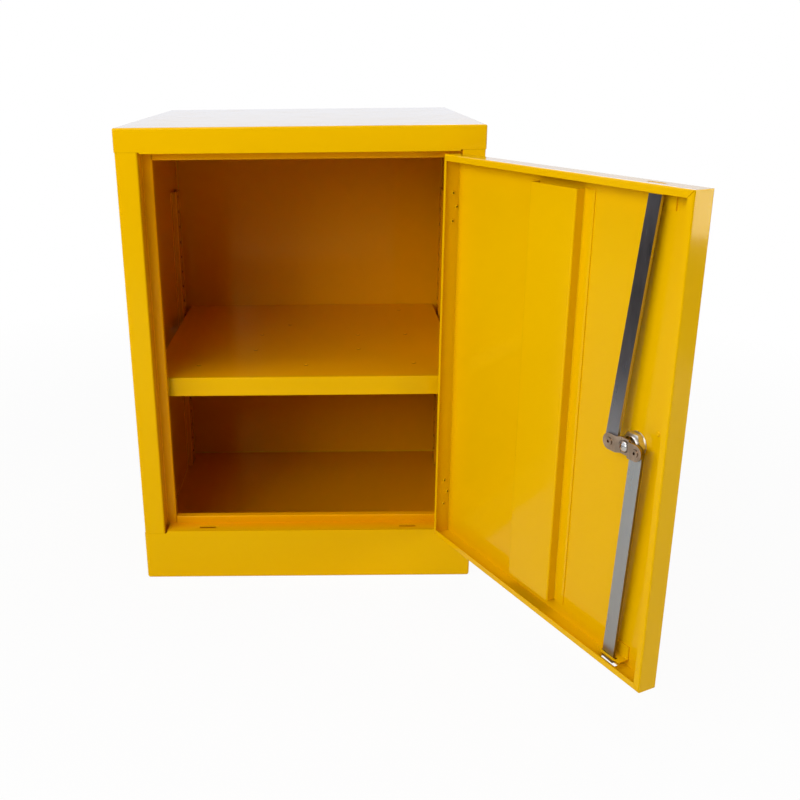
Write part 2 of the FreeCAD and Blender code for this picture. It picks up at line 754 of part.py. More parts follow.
def make_shelf_stiffener(name, weld_line):
    """A top-hat rib welded under the shelf along two lines."""
    body = make_body(name)
    under = shelf_high - gauge
    near = weld_line + rib_foot / 2
    far = weld_line + rib_span - rib_foot / 2
    rib_half = shelf_half - rib_side_gap
    rib = Drawing(body, "YZ", -rib_half)
    rib.folded_strip(
        [
            (near - rib_foot, under - gauge),
            (near, under - gauge),
            (near, under - rib_depth),
            (far, under - rib_depth),
            (far, under - gauge),
            (far + rib_foot, under - gauge),
        ],
        1, gauge, [fold, fold, fold, fold],
    )
    rib.pad(rib_half * 2)
    stand(body)


def make_shelf_clips():
    """Four angle clips, each with a peg in an upright's hole."""
    clips = []
    for side in (-1, 1):
        for middle in (front_upright_y, rear_upright_y):
            clip = document.addObject("PartDesign::Body", "ShelfClip")
            back = (upright_face - seat_gap / 2) * side
            angle = Drawing(clip, "XZ", middle - clip_width / 2)
            angle.folded_strip(
                [(back, shelf_low - clip_drop), (back, shelf_low), (back - clip_reach * side, shelf_low)],
                side, clip_gauge, [clip_gauge + gauge / 2],
            )
            angle.pad(clip_width)
            peg_start = upright_face - clip_gauge if side > 0 else -upright_face - peg_reach
            peg = Drawing(clip, "YZ", peg_start)
            peg.octagon((middle, clip_hole_level), peg_radius)
            peg.pad(peg_reach + clip_gauge)
            clips.append(clip)
    stand(group("shelf_clips", clips))


# Door

def make_door_pan():
    """Skin, four flanges and four lips folded from one sheet, mitred at the corners."""
    body = make_body("door_pan")
    block = Drawing(body, "XZ", 0)
    block.rectangle((-door_half, door_low), (door_half, door_high))
    block.pad(door_depth)
    round_edges(body, door_fold, flat_edges("Y", door_depth))
    inner_low = (gauge - door_half, door_low + gauge)
    inner_high = (door_half - gauge, door_high - gauge)
    hollow = Drawing(body, "XZ", gauge)
    hollow.rectangle(inner_low, inner_high)
    hollow.pocket(door_depth - gauge * 2)
    round_edges(body, door_fold, flat_edges("Y", as_size(0)))
    mouth_low = (door_lip - door_half, door_low + door_lip)
    mouth_high = (door_half - hinge_lip, door_high - door_lip)
    mouth = Drawing(body, "XZ", door_depth - gauge * 1.5)
    mouth.rectangle(mouth_low, mouth_high)
    mouth.pocket(gauge * 2)
    cut_mitres(body, inner_low, inner_high, mouth_low, mouth_high)
    cut_door_slots(body)
    lock_hole = Drawing(body, "XZ", -gauge)
    lock_hole.circle((lock_x, lock_height), barrel_radius + seat_gap)
    lock_hole.pocket(gauge * 3)
    cut_rivet_holes(body, door_half - gauge * 2)
    hang(body)


def cut_mitres(body, inner_low, inner_high, mouth_low, mouth_high):
    """The open mitres between the lips, from the pan's inside corners to the mouth's corners."""
    for side, inner_x, mouth_x in ((1, inner_low[0], mouth_low[0]), (-1, inner_high[0], mouth_high[0])):
        for rise, inner_z, mouth_z in ((1, inner_low[1], mouth_low[1]),
                                       (-1, inner_high[1], mouth_high[1])):
            mitre = Drawing(body, "XZ", door_depth - gauge * 1.5)
            mitre.polygon([
                (inner_x, inner_z),
                (inner_x + mitre_gap * side, inner_z),
                (mouth_x + mitre_gap * side, mouth_z),
                (mouth_x + mitre_gap * side, mouth_z + mitre_gap * rise),
                (mouth_x, mouth_z + mitre_gap * rise),
                (mouth_x, mouth_z),
                (inner_x, inner_z + mitre_gap * rise),
            ])
            mitre.pocket(gauge * 2)


def cut_door_slots(body):
    """One slot for each bar, in the top and the bottom flange."""
    for level in (door_high - gauge * 2, door_low - gauge):
        slot = Drawing(body, "XY", level)
        slot.slot((slot_x, slot_depth), slot_length, slot_width)
        slot.pocket(gauge * 3)


def rivet_places(level):
    """The three rivets of a leaf, as depth and height: a triangle about the hinge's middle."""
    return [
        (rivet_far, level + rivet_spread),
        (rivet_near, level),
        (rivet_far, level - rivet_spread),
    ]


def cut_rivet_holes(body, start):
    for level in hinge_levels.values():
        holes = Drawing(body, "YZ", start)
        for place in rivet_places(level):
            holes.octagon(place, rivet_radius)
        holes.pocket(gauge * 3)


def make_door_stiffener():
    """A vertical top-hat section on the inside of the skin, open at both ends."""
    body = make_body("door_stiffener")
    low = door_low + brace_gap
    web_near = door_half - brace_start
    web_far = web_near - brace_width
    brace = Drawing(body, "XY", low)
    brace.folded_strip(
        [
            (web_near + brace_foot, gauge * 2),
            (web_near, gauge * 2),
            (web_near, gauge + brace_depth),
            (web_far, gauge + brace_depth),
            (web_far, gauge * 2),
            (web_far - brace_foot, gauge * 2),
        ],
        1, gauge, [fold, fold, fold, fold],
    )
    brace.pad(door_high - brace_gap - low)
    hang(body)


def make_rod_guide(name, rise, end):
    """An angle bracket whose shelf has the slot that a bar slides in; its corners are bevelled."""
    body = make_body(name)
    plate = end - (guide_gap * rise)
    # A bar slants in depth, so it moves across the slot by the throw times its slope.
    slope = (bar_pivot_depth - slot_depth) / (end - lock_height) * rise
    slot_room = bar_gauge + (throw * slope + guide_play) * 2
    angle = Drawing(body, "YZ", slot_x - guide_width / 2)
    angle.folded_strip(
        [
            (gauge + guide_reach, plate),
            (gauge, plate),
            (gauge, plate - guide_leg * rise),
        ],
        rise, guide_gauge, [guide_gauge * 1.6],
    )
    angle.pad(guide_width)
    front = gauge + guide_reach
    cut_low = plate - guide_gauge * 2 if rise > 0 else plate - guide_gauge
    for side in (-1, 1):
        bevel = Drawing(body, "XY", cut_low)
        bevel.polygon([
            (slot_x + guide_nose / 2 * side, front),
            (slot_x + (guide_width / 2) * side, front - guide_bevel),
            (slot_x + (guide_width / 2 + gauge) * side, front - guide_bevel),
            (slot_x + (guide_width / 2 + gauge) * side, front + gauge),
            (slot_x + guide_nose / 2 * side, front + gauge),
        ])
        bevel.pocket(guide_gauge * 3)
    slot = Drawing(body, "XY", cut_low)
    slot.slot((slot_x, slot_depth), slot_length, slot_room)
    slot.pocket(guide_gauge * 3)
    hang(body)


# Hinges

def make_frame_leaf(name, level):
    """The fixed leaf: a plate on the rebate wall with a knuckle at each end."""
    body = make_body(name)
    low = level - leaf_length / 2
    third = leaf_length / 3
    plate_x = opening_half - leaf_gauge
    plate = Drawing(body, "XY", low)
    plate.rectangle((plate_x, seat_gap), (opening_half, leaf_width))
    plate.pad(leaf_length)
    for start in (low, low + third * 2 + knuckle_gap / 2):
        add_knuckle(body, plate_x, opening_half, start, third - knuckle_gap / 2)
    finish_leaf(body, level, opening_half - gauge)
    stand(body)


def make_door_leaf(name, level):
    """The moving leaf: a plate on the door's hinge flange with one knuckle in its middle."""
    body = make_body(name)
    low = level - leaf_length / 2
    third = leaf_length / 3
    plate = Drawing(body, "XY", low)
    plate.rectangle((door_half, seat_gap), (door_half + leaf_gauge, leaf_width))
    plate.pad(leaf_length)
    start = low + third + knuckle_gap / 2
    add_knuckle(body, door_half, door_half + leaf_gauge, start, third - knuckle_gap)
    finish_leaf(body, level, door_half - gauge)
    hang(body)


def add_knuckle(body, near_x, far_x, start, length):
    """A rolled knuckle about the hinge axis and the neck that joins it to its leaf."""
    neck = Drawing(body, "XY", start)
    neck.rectangle((near_x, -hinge_out), (far_x, seat_gap + gauge))
    neck.pad(length)
    knuckle = Drawing(body, "XY", start)
    knuckle.circle((hinge_x, -hinge_out), knuckle_radius)
    knuckle.pad(length)


def finish_leaf(body, level, holes_start):
    """The bore for the pin and the three rivet holes."""
    bore = Drawing(body, "XY", level - leaf_length)
    bore.circle((hinge_x, -hinge_out), pin_radius + pin_play)
    bore.pocket(leaf_length * 2)
    holes = Drawing(body, "YZ", holes_start)
    for place in rivet_places(level):
        holes.octagon(place, rivet_radius)
    holes.pocket(gauge * 3)


def make_hinge_pin(name, level):
    """A plain pin with a flat head at each end, turned about the hinge axis."""
    body = make_body(name)
    reach = leaf_length / 2
    end = reach + pin_head_height
    pin = Drawing(body, "XZ", -hinge_out)
    pin.polygon([
        (hinge_x, level - end),
        (hinge_x + pin_head, level - end),
        (hinge_x + pin_head, level - reach),
        (hinge_x + pin_radius, level - reach),
        (hinge_x + pin_radius, level + reach),
        (hinge_x + pin_head, level + reach),
        (hinge_x + pin_head, level + end),
        (hinge_x, level + end),
    ])
    pin.axis((hinge_x, level - end), (hinge_x, level + end))
    pin.turn("Revolution")
    stand(body)


def make_hinge_rivets(name, leaf_face, side, place_on):
    """Rivets flush with the leaves' faces, their heads on the far side of the sheet."""
    rivets = []
    for level in hinge_levels.values():
        for depth, height in rivet_places(level):
            shank_length = leaf_gauge + gauge + rivet_head_height
            sheet_back = leaf_face + (leaf_gauge + gauge) * side
            shank_start = leaf_face if side > 0 else leaf_face - shank_length
            head_start = sheet_back if side > 0 else sheet_back - rivet_head_height
            shank = stud((shank_start, depth, height), rivet_radius, shank_length)
            head = stud((head_start, depth, height), rivet_head, rivet_head_height)
            rivets.append(fuse([shank, head]))
    place_on(group(name, rivets))


# Lock

def make_lock_housing():
    """The outer rose and the threaded barrel that passes through the skin."""
    body = make_body("lock_housing")
    rose = Drawing(body, "XZ", -rose_gauge)
    rose.circle((lock_x, lock_height), rose_radius)
    rose.pad(rose_gauge)
    bevel_edges(body, rose_gauge / 2, flat_edges("Y", -rose_gauge))
    barrel = Drawing(body, "XZ", -gauge)
    barrel.circle((lock_x, lock_height), barrel_radius)
    barrel.pad(barrel_reach + gauge)
    bore = Drawing(body, "XZ", -rose_gauge - gauge)
    bore.circle((lock_x, lock_height), spindle_radius + spindle_play)
    bore.pocket(rose_gauge + barrel_reach + gauge * 2)
    hang(body)


def make_lock_washer():
    body = make_body("lock_washer")
    washer = Drawing(body, "XZ", gauge)
    washer.circle((lock_x, lock_height), washer_radius)
    washer.circle((lock_x, lock_height), barrel_radius + seat_gap)
    washer.pad(washer_gauge)
    hang(body)


def make_lock_nut():
    """A hexagon nut on the barrel, its outer corners turned off at a slant."""
    body = make_body("lock_nut")
    seat = gauge + washer_gauge
    corner = nut_flats / square_root(as_size(3))
    half_flats = nut_flats / 2
    nut = Drawing(body, "XZ", seat)
    nut.polygon([
        (lock_x + corner, lock_height),
        (lock_x + corner / 2, lock_height + half_flats),
        (lock_x - corner / 2, lock_height + half_flats),
        (lock_x - corner, lock_height),
        (lock_x - corner / 2, lock_height - half_flats),
        (lock_x + corner / 2, lock_height - half_flats),
    ])
    nut.pad(nut_height)
    bore = Drawing(body, "XZ", 0)
    bore.circle((lock_x, lock_height), barrel_radius + snug_gap)
    bore.pocket(seat + nut_height + gauge)
    top = seat + nut_height
    slant = corner - half_flats
    corners = Drawing(body, "XY", lock_height)
    corners.polygon([
        (lock_x + half_flats, top),
        (lock_x + corner + gauge, top - (slant + gauge) / 2),
        (lock_x + corner + gauge, top + gauge),
        (lock_x + half_flats, top + gauge),
    ])
    corners.axis((lock_x, seat), (lock_x, top))
    corners.turn("Groove")
    hang(body)


def make_turn_knob():
    """A winged knob on the rose, bored for the key plug."""
    body = make_body("turn_knob")
    base_front = -rose_gauge - seat_gap - knob_base
    base = Drawing(body, "XZ", base_front)
    base.circle((lock_x, lock_height), knob_radius)
    base.pad(knob_base)
    wing_front = base_front - wing_height
    wing = Drawing(body, "XZ", wing_front)
    wing.rectangle(
        (lock_x - wing_length / 2, lock_height - wing_width / 2),
        (lock_x + wing_length / 2, lock_height + wing_width / 2),
        wing_width * 0.45,
    )
    wing.pad(wing_height)
    bevel_edges(body, gauge * 1.5, flat_edges("Y", wing_front))
    bore = Drawing(body, "XZ", wing_front - gauge)
    bore.circle((lock_x, lock_height), plug_radius + spindle_play)
    bore.pocket(plug_length + gauge + seat_gap)
    socket = Drawing(body, "XZ", base_front + knob_base / 2)
    socket.circle((lock_x, lock_height), spindle_radius + snug_gap)
    socket.pocket(knob_base)
    hang(body)


def make_key_plug():
    """The round plug that the key turns, with its keyway."""
    body = make_body("key_plug")
    front = -rose_gauge - seat_gap - knob_base - wing_height
    plug = Drawing(body, "XZ", front)
    plug.circle((lock_x, lock_height), plug_radius)
    plug.pad(plug_length)
    keyway = Drawing(body, "XZ", front - gauge)
    keyway.rectangle(
        (lock_x - keyway_width / 2, lock_height - keyway_height / 2),
        (lock_x + keyway_width / 2, lock_height + keyway_height / 2),
    )
    keyway.pocket(plug_length * 0.75 + gauge)
    hang(body)


def make_lock_spindle():
    """The shaft from the knob to the cam plate, drilled for the cam screw."""
    body = make_body("lock_spindle")
    start = -rose_gauge - seat_gap - knob_base / 2
    shaft = Drawing(body, "XZ", start)
    shaft.circle((lock_x, lock_height), spindle_radius)
    shaft.pad(cam_recess - start)
    hole = Drawing(body, "XZ", cam_recess - screw_length - gauge)
    hole.circle((lock_x, lock_height), screw_radius + snug_gap)
    hole.pocket(screw_length + gauge * 2)
    hang(body)


def make_cam_plate():
    """A flat strip with a set-back middle on the spindle and rounded ends over the two bars."""
    body = make_body("cam_plate")
    end = throw + cam_width / 2
    slant_shift = cam_gauge / 2
    inner = [
        (end, cam_inner),
        (joggle_start + joggle_run, cam_inner),
        (joggle_start, cam_recess),
    ]
    outer = [
        (joggle_start - slant_shift, cam_recess + cam_gauge),
        (joggle_start + joggle_run - slant_shift, cam_inner + cam_gauge),
        (end, cam_inner + cam_gauge),
    ]
    section = [(lock_x + x, y) for x, y in inner]
    section += [(lock_x - x, y) for x, y in inner[::-1]]
    section += [(lock_x - x, y) for x, y in outer[::-1]]
    section += [(lock_x + x, y) for x, y in outer]
    plate = Drawing(body, "XY", lock_height - cam_width / 2)
    plate.polygon(section)
    plate.pad(cam_width)

    def end_corner(edge):
        on_end = abs(abs(edge.CenterOfMass.x - lock_x.number) - end.number) < 0.01
        return on_end and long_edges("Y")(edge)

    round_edges(body, cam_width * 0.49, end_corner)
    holes = Drawing(body, "XZ", cam_recess - gauge)
    holes.circle((lock_x, lock_height), screw_radius + snug_gap)
    for offset in (throw, -throw):
        holes.circle((lock_x + offset, lock_height), pivot_radius + snug_gap)
    holes.pocket(cam_joggle + cam_gauge + gauge * 2)
    hang(body)


def make_cam_screw():
    """A domed screw that holds the cam plate on the spindle."""
    body = make_body("cam_screw")
    seat = cam_recess + cam_gauge
    shank = Drawing(body, "XZ", cam_recess - screw_length)
    shank.circle((lock_x, lock_height), screw_radius)
    shank.pad(screw_length + cam_gauge)
    head = Drawing(body, "XZ", seat)
    head.circle((lock_x, lock_height), screw_head)
    head.pad(screw_dome)
    round_edges(body, screw_dome * 0.9, flat_edges("Y", seat + screw_dome))
    hang(body)


def make_pivot_rivets():
    """Two tubular rivets that hold the bars to the cam plate."""
    rivets = []
    foot_start = bar_pivot_depth - bar_gauge / 2 - cam_gap - pivot_head_height
    head_start = cam_inner + cam_gauge
    length = head_start + pivot_head_height - foot_start
    for offset in (throw, -throw):
        x = lock_x + offset
        foot = cylinder((x, foot_start, lock_height), pivot_head, pivot_head_height)
        shank = cylinder((x, foot_start, lock_height), pivot_radius, length)
        head = cylinder((x, head_start, lock_height), pivot_head, pivot_head_height)
        bore = cylinder((x, foot_start - gauge, lock_height), pivot_bore, length + gauge * 2)
        rivet = document.addObject("Part::Cut", "Rivet")
        rivet.Base = fuse([foot, shank, head])
        rivet.Tool = bore
        rivets.append(rivet)
    hang(group("pivot_rivets", rivets))


def make_bar(name, rise, end):
    """A flat bar from its pivot on the cam, slanting in to its slot at the door's end."""
    body = make_body(name)
    pivot = (lock_x + throw * rise, lock_height)
    tip = (slot_x - bar_skew * rise, end - (gauge + bar_back) * rise)
    run = tip[0] - pivot[0]
    rise_to_tip = tip[1] - pivot[1]
    length = square_root(run * run + rise_to_tip * rise_to_tip)
    across = (bar_width / 2 * rise_to_tip / length, -(bar_width / 2 * run / length))
    near = gauge * 2
    thickness = bar_face + gauge * 2 - near
    blank = Drawing(body, "XZ", near)
    blank.polygon([
        (pivot[0] + across[0], pivot[1] + across[1]),
        (tip[0] + across[0], tip[1] + across[1]),
        (tip[0] - across[0], tip[1] - across[1]),
        (pivot[0] - across[0], pivot[1] - across[1]),
    ])
    blank.pad(thickness)
    eye = Drawing(body, "XZ", near)
    eye.circle(pivot, bar_width / 2)
    eye.pad(thickness)
    hole = Drawing(body, "XZ", near - gauge)
    hole.circle(pivot, pivot_radius + pivot_play)
    hole.pocket(thickness + gauge * 2)
    # The blank is planed on both faces, so that the bar slants from the cam's level to the slots'.
    slope = (slot_depth - bar_pivot_depth) / rise_to_tip
    start = pivot[1] - bar_width * rise
    stop = tip[1] + bar_width * rise
    middle_start = bar_pivot_depth - slope * bar_width * rise
    middle_stop = slot_depth + slope * bar_width * rise
    half = bar_gauge / 2
    for way, far in ((-1, near - gauge), (1, bar_face + gauge * 3)):
        waste = Drawing(body, "YZ", tip[0] - bar_width * 4)
        waste.polygon([
            (middle_start + half * way, start),
            (middle_stop + half * way, stop),
            (far, stop),
            (far, start),
        ])
        waste.pocket(bar_width * 8)
    hang(body)


# Build

make_top_cover()
make_base_tray()
make_side_panel("side_left", -1)
make_side_panel("side_right", 1)
make_back_panel()
for hand, side in (("left", -1), ("right", 1)):
    make_upright("upright_front_" + hand, side, front_upright_y)
    make_upright("upright_rear_" + hand, side, rear_upright_y)
make_shelf()
make_shelf_stiffener("shelf_stiffener_front", rib_first)
make_shelf_stiffener("shelf_stiffener_rear", rib_first + rib_step)
make_shelf_clips()
make_door_pan()
make_door_stiffener()
make_rod_guide("rod_guide_upper", 1, door_high)
make_rod_guide("rod_guide_lower", -1, door_low)
for place, level in hinge_levels.items():
    make_frame_leaf("hinge_frame_leaf_" + place, level)
    make_door_leaf("hinge_door_leaf_" + place, level)
    make_hinge_pin("hinge_pin_" + place, level)
make_hinge_rivets("hinge_rivets_frame", opening_half - leaf_gauge, 1, stand)
make_hinge_rivets("hinge_rivets_door", door_half + leaf_gauge, -1, hang)
make_lock_housing()
make_lock_washer()
make_lock_nut()
make_turn_knob()
make_key_plug()
make_lock_spindle()
make_cam_plate()
make_cam_screw()
make_pivot_rivets()
make_bar("upper_rod", 1, door_high)
make_bar("lower_rod", -1, door_low)

document.recompute()

# Check the whole document, then write each piece

for item in document.Objects:
    if "Invalid" in item.State or "Error" in item.State:
        raise RuntimeError(f"{item.Name} ({item.Label}) did not build: {item.State}")
for piece in pieces:
    if piece.Shape.isNull() or not piece.Shape.isValid():
        raise RuntimeError(f"{piece.Label} has no valid shape")

os.makedirs("parts", exist_ok=True)
for piece in pieces:
    piece.Shape.exportStep(f"parts/{piece.Label}.step")
    box = piece.Shape.BoundBox
    print(f"{piece.Label}: {len(piece.Shape.Solids)} solid(s), {piece.Shape.Volume:.0f} cubic mm,"
          f" {box.XLength:.1f} x {box.YLength:.1f} x {box.ZLength:.1f}")
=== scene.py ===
# %% [markdown]
# # A flammable safety cabinet in yellow powder coat
# The cabinet is folded steel sheet, painted after it was welded, with a door that hangs
# open on the right and two bare steel bars that lock it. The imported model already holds
# every folded piece at its real size. What is left is what a photographer would care
# about: the paint, the bare metal, the small marks of making, the light and the camera.
# Everything is in metres. X runs to the right, Y to the back and Z up from the floor.

import json
import math

import bmesh
import bpy
from mathutils import Matrix, Vector


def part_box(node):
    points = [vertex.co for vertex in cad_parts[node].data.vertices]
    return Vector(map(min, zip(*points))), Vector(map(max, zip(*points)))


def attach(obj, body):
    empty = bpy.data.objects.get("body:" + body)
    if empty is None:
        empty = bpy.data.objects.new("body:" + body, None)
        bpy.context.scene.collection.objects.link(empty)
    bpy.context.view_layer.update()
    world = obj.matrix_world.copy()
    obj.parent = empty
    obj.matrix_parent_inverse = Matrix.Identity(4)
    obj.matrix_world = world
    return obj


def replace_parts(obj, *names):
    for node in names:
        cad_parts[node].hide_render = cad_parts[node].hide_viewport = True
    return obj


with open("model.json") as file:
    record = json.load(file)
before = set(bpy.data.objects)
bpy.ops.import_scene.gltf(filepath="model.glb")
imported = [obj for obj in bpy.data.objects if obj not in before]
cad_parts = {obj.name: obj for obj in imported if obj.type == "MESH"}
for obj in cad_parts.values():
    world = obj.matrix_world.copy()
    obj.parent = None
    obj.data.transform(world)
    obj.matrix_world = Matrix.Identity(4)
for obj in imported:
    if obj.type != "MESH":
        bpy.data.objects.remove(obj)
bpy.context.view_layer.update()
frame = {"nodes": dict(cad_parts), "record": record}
nodes = frame["nodes"]

# %% [markdown]
# ## The camera
# The view is taken from in front, a hand's breadth above the cabinet's top, which therefore
# shows almost edge on. A camera is easiest to understand as a place and three turns: it looks
# along +Y, turns about the vertical, tips down, and rolls a little about its own axis. A
# small shift moves the picture without bending its upright lines, as a view camera's back
# does.

# %% Camera
CAMERA_PLACE = Vector((0.0404, -1.4008, 0.6825))
CAMERA_YAW = math.radians(-0.31)
CAMERA_TIP = math.radians(19.01)
CAMERA_ROLL = math.radians(0.61)
SENSOR_WIDTH = 36.0
LENS = 42.79
CAMERA_SHIFT = (0.0868, -0.0134)

camera = bpy.data.objects.new("camera", bpy.data.cameras.new("camera"))
bpy.context.collection.objects.link(camera)
bpy.context.scene.camera = camera
camera.matrix_world = (
    Matrix.Translation(CAMERA_PLACE)
    @ Matrix.Rotation(-CAMERA_YAW, 4, "Z")
    @ Matrix.Rotation(math.pi / 2 - CAMERA_TIP, 4, "X")
    @ Matrix.Rotation(-CAMERA_ROLL, 4, "Z")
)
camera.data.sensor_width = SENSOR_WIDTH
camera.data.lens = LENS
camera.data.shift_x, camera.data.shift_y = CAMERA_SHIFT
print("camera at", [round(c, 3) for c in camera.location], "lens", camera.data.lens, "mm")

# %% [markdown]
# ## Building materials from nodes
# A material is a small recipe: coordinates go into a pattern, the pattern is stretched or
# squeezed, and the result drives colour, roughness or relief. Four short helpers keep each
# recipe readable. All patterns read Object coordinates, in metres, so a grain of one
# millimetre is written as one millimetre and never slides when a piece turns.

# %% Helpers for materials
def start_finish(name, colour, roughness, metallic=0.0, ior=1.5):
    """A new material; what is the same all over its surface is set on the shader itself."""
    finish = bpy.data.materials.new(name)
    finish.use_nodes = True
    shader = finish.node_tree.nodes["Principled BSDF"]
    shader.inputs["Base Color"].default_value = (*colour, 1.0)
    shader.inputs["Roughness"].default_value = roughness
    shader.inputs["Metallic"].default_value = metallic
    shader.inputs["IOR"].default_value = ior
    return finish


def add(finish, kind, inputs, **settings):
    """Adds a node; each input is a number, a colour or another node's output."""
    tree = finish.node_tree
    node = tree.nodes.new("ShaderNode" + kind)
    for name, value in settings.items():
        setattr(node, name, value)
    for name, value in inputs.items():
        if isinstance(value, bpy.types.NodeSocket):
            tree.links.new(value, node.inputs[name])
        else:
            node.inputs[name].default_value = value
    return node


def wire(finish, output, socket):
    """Joins an output to one socket of the material's shader."""
    shader = finish.node_tree.nodes["Principled BSDF"]
    finish.node_tree.links.new(output, shader.inputs[socket])


def grain(finish, length, detail=2.0, stretch=(1, 1, 1), turn=(0, 0, 0)):
    """Cloudy noise whose spots are about this long, in metres, stretched along an axis."""
    place = add(finish, "TexCoord", {})
    turned = add(finish, "Mapping", {"Vector": place.outputs["Object"], "Rotation": turn})
    scale = [1 / (length * s) for s in stretch]
    scaled = add(finish, "Mapping", {"Vector": turned.outputs["Vector"], "Scale": scale})
    noise = add(finish, "TexNoise", {"Vector": scaled.outputs["Vector"], "Scale": 1.0,
                                     "Detail": detail, "Roughness": 0.55})
    return noise.outputs["Fac"]


def spread(finish, value, low, high, to_low, to_high):
    """Stretches the values between low and high over a new range and holds them there."""
    ranged = add(finish, "MapRange", {"Value": value, "From Min": low, "From Max": high,
                                      "To Min": to_low, "To Max": to_high})
    return ranged.outputs["Result"]


def mix(finish, share, first, second):
    """Two colours, mixed by a share from 0 to 1."""
    mixed = add(finish, "Mix", {}, data_type="RGBA")
    tree = finish.node_tree
    tree.links.new(share, mixed.inputs["Factor"])
    for socket, colour in ((mixed.inputs[6], first), (mixed.inputs[7], second)):
        if isinstance(colour, bpy.types.NodeSocket):
            tree.links.new(colour, socket)
        else:
            socket.default_value = (*colour, 1.0)
    return mixed.outputs[2]


def relief(finish, height, depth, below=None):
    """Turns a height pattern into a bump this deep, in metres, over the one below it."""
    inputs = {"Height": height, "Distance": depth, "Strength": 1.0}
    if below is not None:
        inputs["Normal"] = below
    return add(finish, "Bump", inputs).outputs["Normal"]


print("material helpers ready")

# %% [markdown]
# ## Powder coat
# The sheet is sprayed with charged powder, which then melts into one glossy film. Close up
# the film has a fine ripple, called orange peel, because the molten powder pulls itself into
# drops before it sets. Under it thin sheet is never quite flat, so long reflections wander a
# little. Hands leave dull smudges. All of this is small, and it is what tells painted steel
# from plastic. The gloss is weak when one looks straight at the paint and strong along it, so
# the shader's own gloss is tinted yellow, and a very thin clear film adds the pale sheen that
# shows only at a flat angle.

# %% Powder coat values
YELLOW = (0.82, 0.470, 0.0)
YELLOW_DEEP = (0.80, 0.445, 0.0)
# Painted shade: the deeper orange that the paint takes in the shade inside the box.
INSIDE_SHADE_ORANGE = (0.80, 0.355, 0.0)
# Painted light: the shelf is brighter than the rest of the inside for the light that falls on it, and
# leans to orange like the shaded inside.
SHELF_LIT_YELLOW = (0.88, 0.420, 0.0)
GLOSS_IOR = 1.25
GLOSS_TINT = (1.0, 0.75, 0.12)
FILM_IOR = 1.1
FILM_ROUGHNESS = 0.06
CLEAN_ROUGHNESS = 0.11
SMUDGED_ROUGHNESS = 0.17
TONE_PATCH = 0.30
SMUDGE_PATCH = 0.05
PEEL = 0.0016
PEEL_DEPTH = 0.0000015
SHEET_WAVE = 0.16
SHEET_WAVE_DEPTH = 0.00003

# %% [markdown]
# ## Painted shade inside the box
# Charged powder flies to the outer corners of a box and hardly into its depth, so the coat is
# thin inside and its yellow leans a little to orange. Most of the deeper orange given to the
# inside here is painted shade, the colour the paint takes in the shade of the box, and the
# shelf's brighter colour is painted light. The rule below finds the inside from the place
# alone: it is more than half a sheet behind the outer faces of the side walls, the back and
# the top, and some way behind the front.

# %% How deep inside a point lies
SHEET = 0.001
CARCASS_RAMP = (-0.224, -0.205)
SHELF_RAMP = (-0.1835, -0.175)
SIDE_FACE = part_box("side_right")[1][0]
BACK_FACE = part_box("back_panel")[1][1]
TOP_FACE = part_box("top_cover")[1][2]


def math_node(finish, operation, first, second=0.0):
    """One step of arithmetic on numbers or other nodes' outputs."""
    return add(finish, "Math", {0: first, 1: second}, operation=operation).outputs[0]


def depth_inside(finish, front_ramp):
    """0 on the outer faces and before the front ramp, 1 well inside the cabinet."""
    place = add(finish, "TexCoord", {})
    axes = add(finish, "SeparateXYZ", {"Vector": place.outputs["Object"]})
    across = math_node(finish, "ABSOLUTE", axes.outputs["X"])
    from_side = math_node(finish, "SUBTRACT", SIDE_FACE, across)
    from_back = math_node(finish, "SUBTRACT", BACK_FACE, axes.outputs["Y"])
    from_top = math_node(finish, "SUBTRACT", TOP_FACE, axes.outputs["Z"])
    least = math_node(finish, "MINIMUM", from_side, from_back)
    least = math_node(finish, "MINIMUM", least, from_top)
    behind_skin = spread(finish, least, SHEET * 0.4, SHEET * 0.6, 0.0, 1.0)
    behind_front = spread(finish, axes.outputs["Y"], *front_ramp, 0.0, 1.0)
    return math_node(finish, "MULTIPLY", behind_skin, behind_front)


print("outer faces at", SIDE_FACE, BACK_FACE, TOP_FACE)


# %% Powder coat
def powder_coat(name, inside_light_and_shade=None, front_ramp=None):
    """Yellow paint that turns inside the cabinet to a colour of painted light and shade, where one is
    given.
    """
    finish = start_finish(name, YELLOW, CLEAN_ROUGHNESS, ior=GLOSS_IOR)
    shader = finish.node_tree.nodes["Principled BSDF"]
    shader.inputs["Specular Tint"].default_value = (*GLOSS_TINT, 1.0)
    shader.inputs["Coat Weight"].default_value = 1.0
    shader.inputs["Coat IOR"].default_value = FILM_IOR
    shader.inputs["Coat Roughness"].default_value = FILM_ROUGHNESS
    tone = spread(finish, grain(finish, TONE_PATCH, 3.0), 0.3, 0.7, 0.0, 1.0)
    colour = mix(finish, tone, YELLOW, YELLOW_DEEP)
    # Inside the cabinet the colour turns to the given one: painted shade on the carcass, painted light
    # on the shelf.
    if inside_light_and_shade:
        colour = mix(finish, depth_inside(finish, front_ramp), colour, inside_light_and_shade)
    wire(finish, colour, "Base Color")
    smudges = grain(finish, SMUDGE_PATCH, 5.0)
    dullness = spread(finish, smudges, 0.45, 0.75, CLEAN_ROUGHNESS, SMUDGED_ROUGHNESS)
    wire(finish, dullness, "Roughness")
    wave = relief(finish, grain(finish, SHEET_WAVE, 1.0), SHEET_WAVE_DEPTH)
    wire(finish, relief(finish, grain(finish, PEEL, 1.0), PEEL_DEPTH, wave), "Normal")
    return finish


carcass_coat = powder_coat("carcass_coat", INSIDE_SHADE_ORANGE, CARCASS_RAMP)
shelf_coat = powder_coat("shelf_coat", SHELF_LIT_YELLOW, SHELF_RAMP)
door_coat = powder_coat("door_coat")
print("paint:", carcass_coat.name, len(carcass_coat.node_tree.nodes), "nodes")
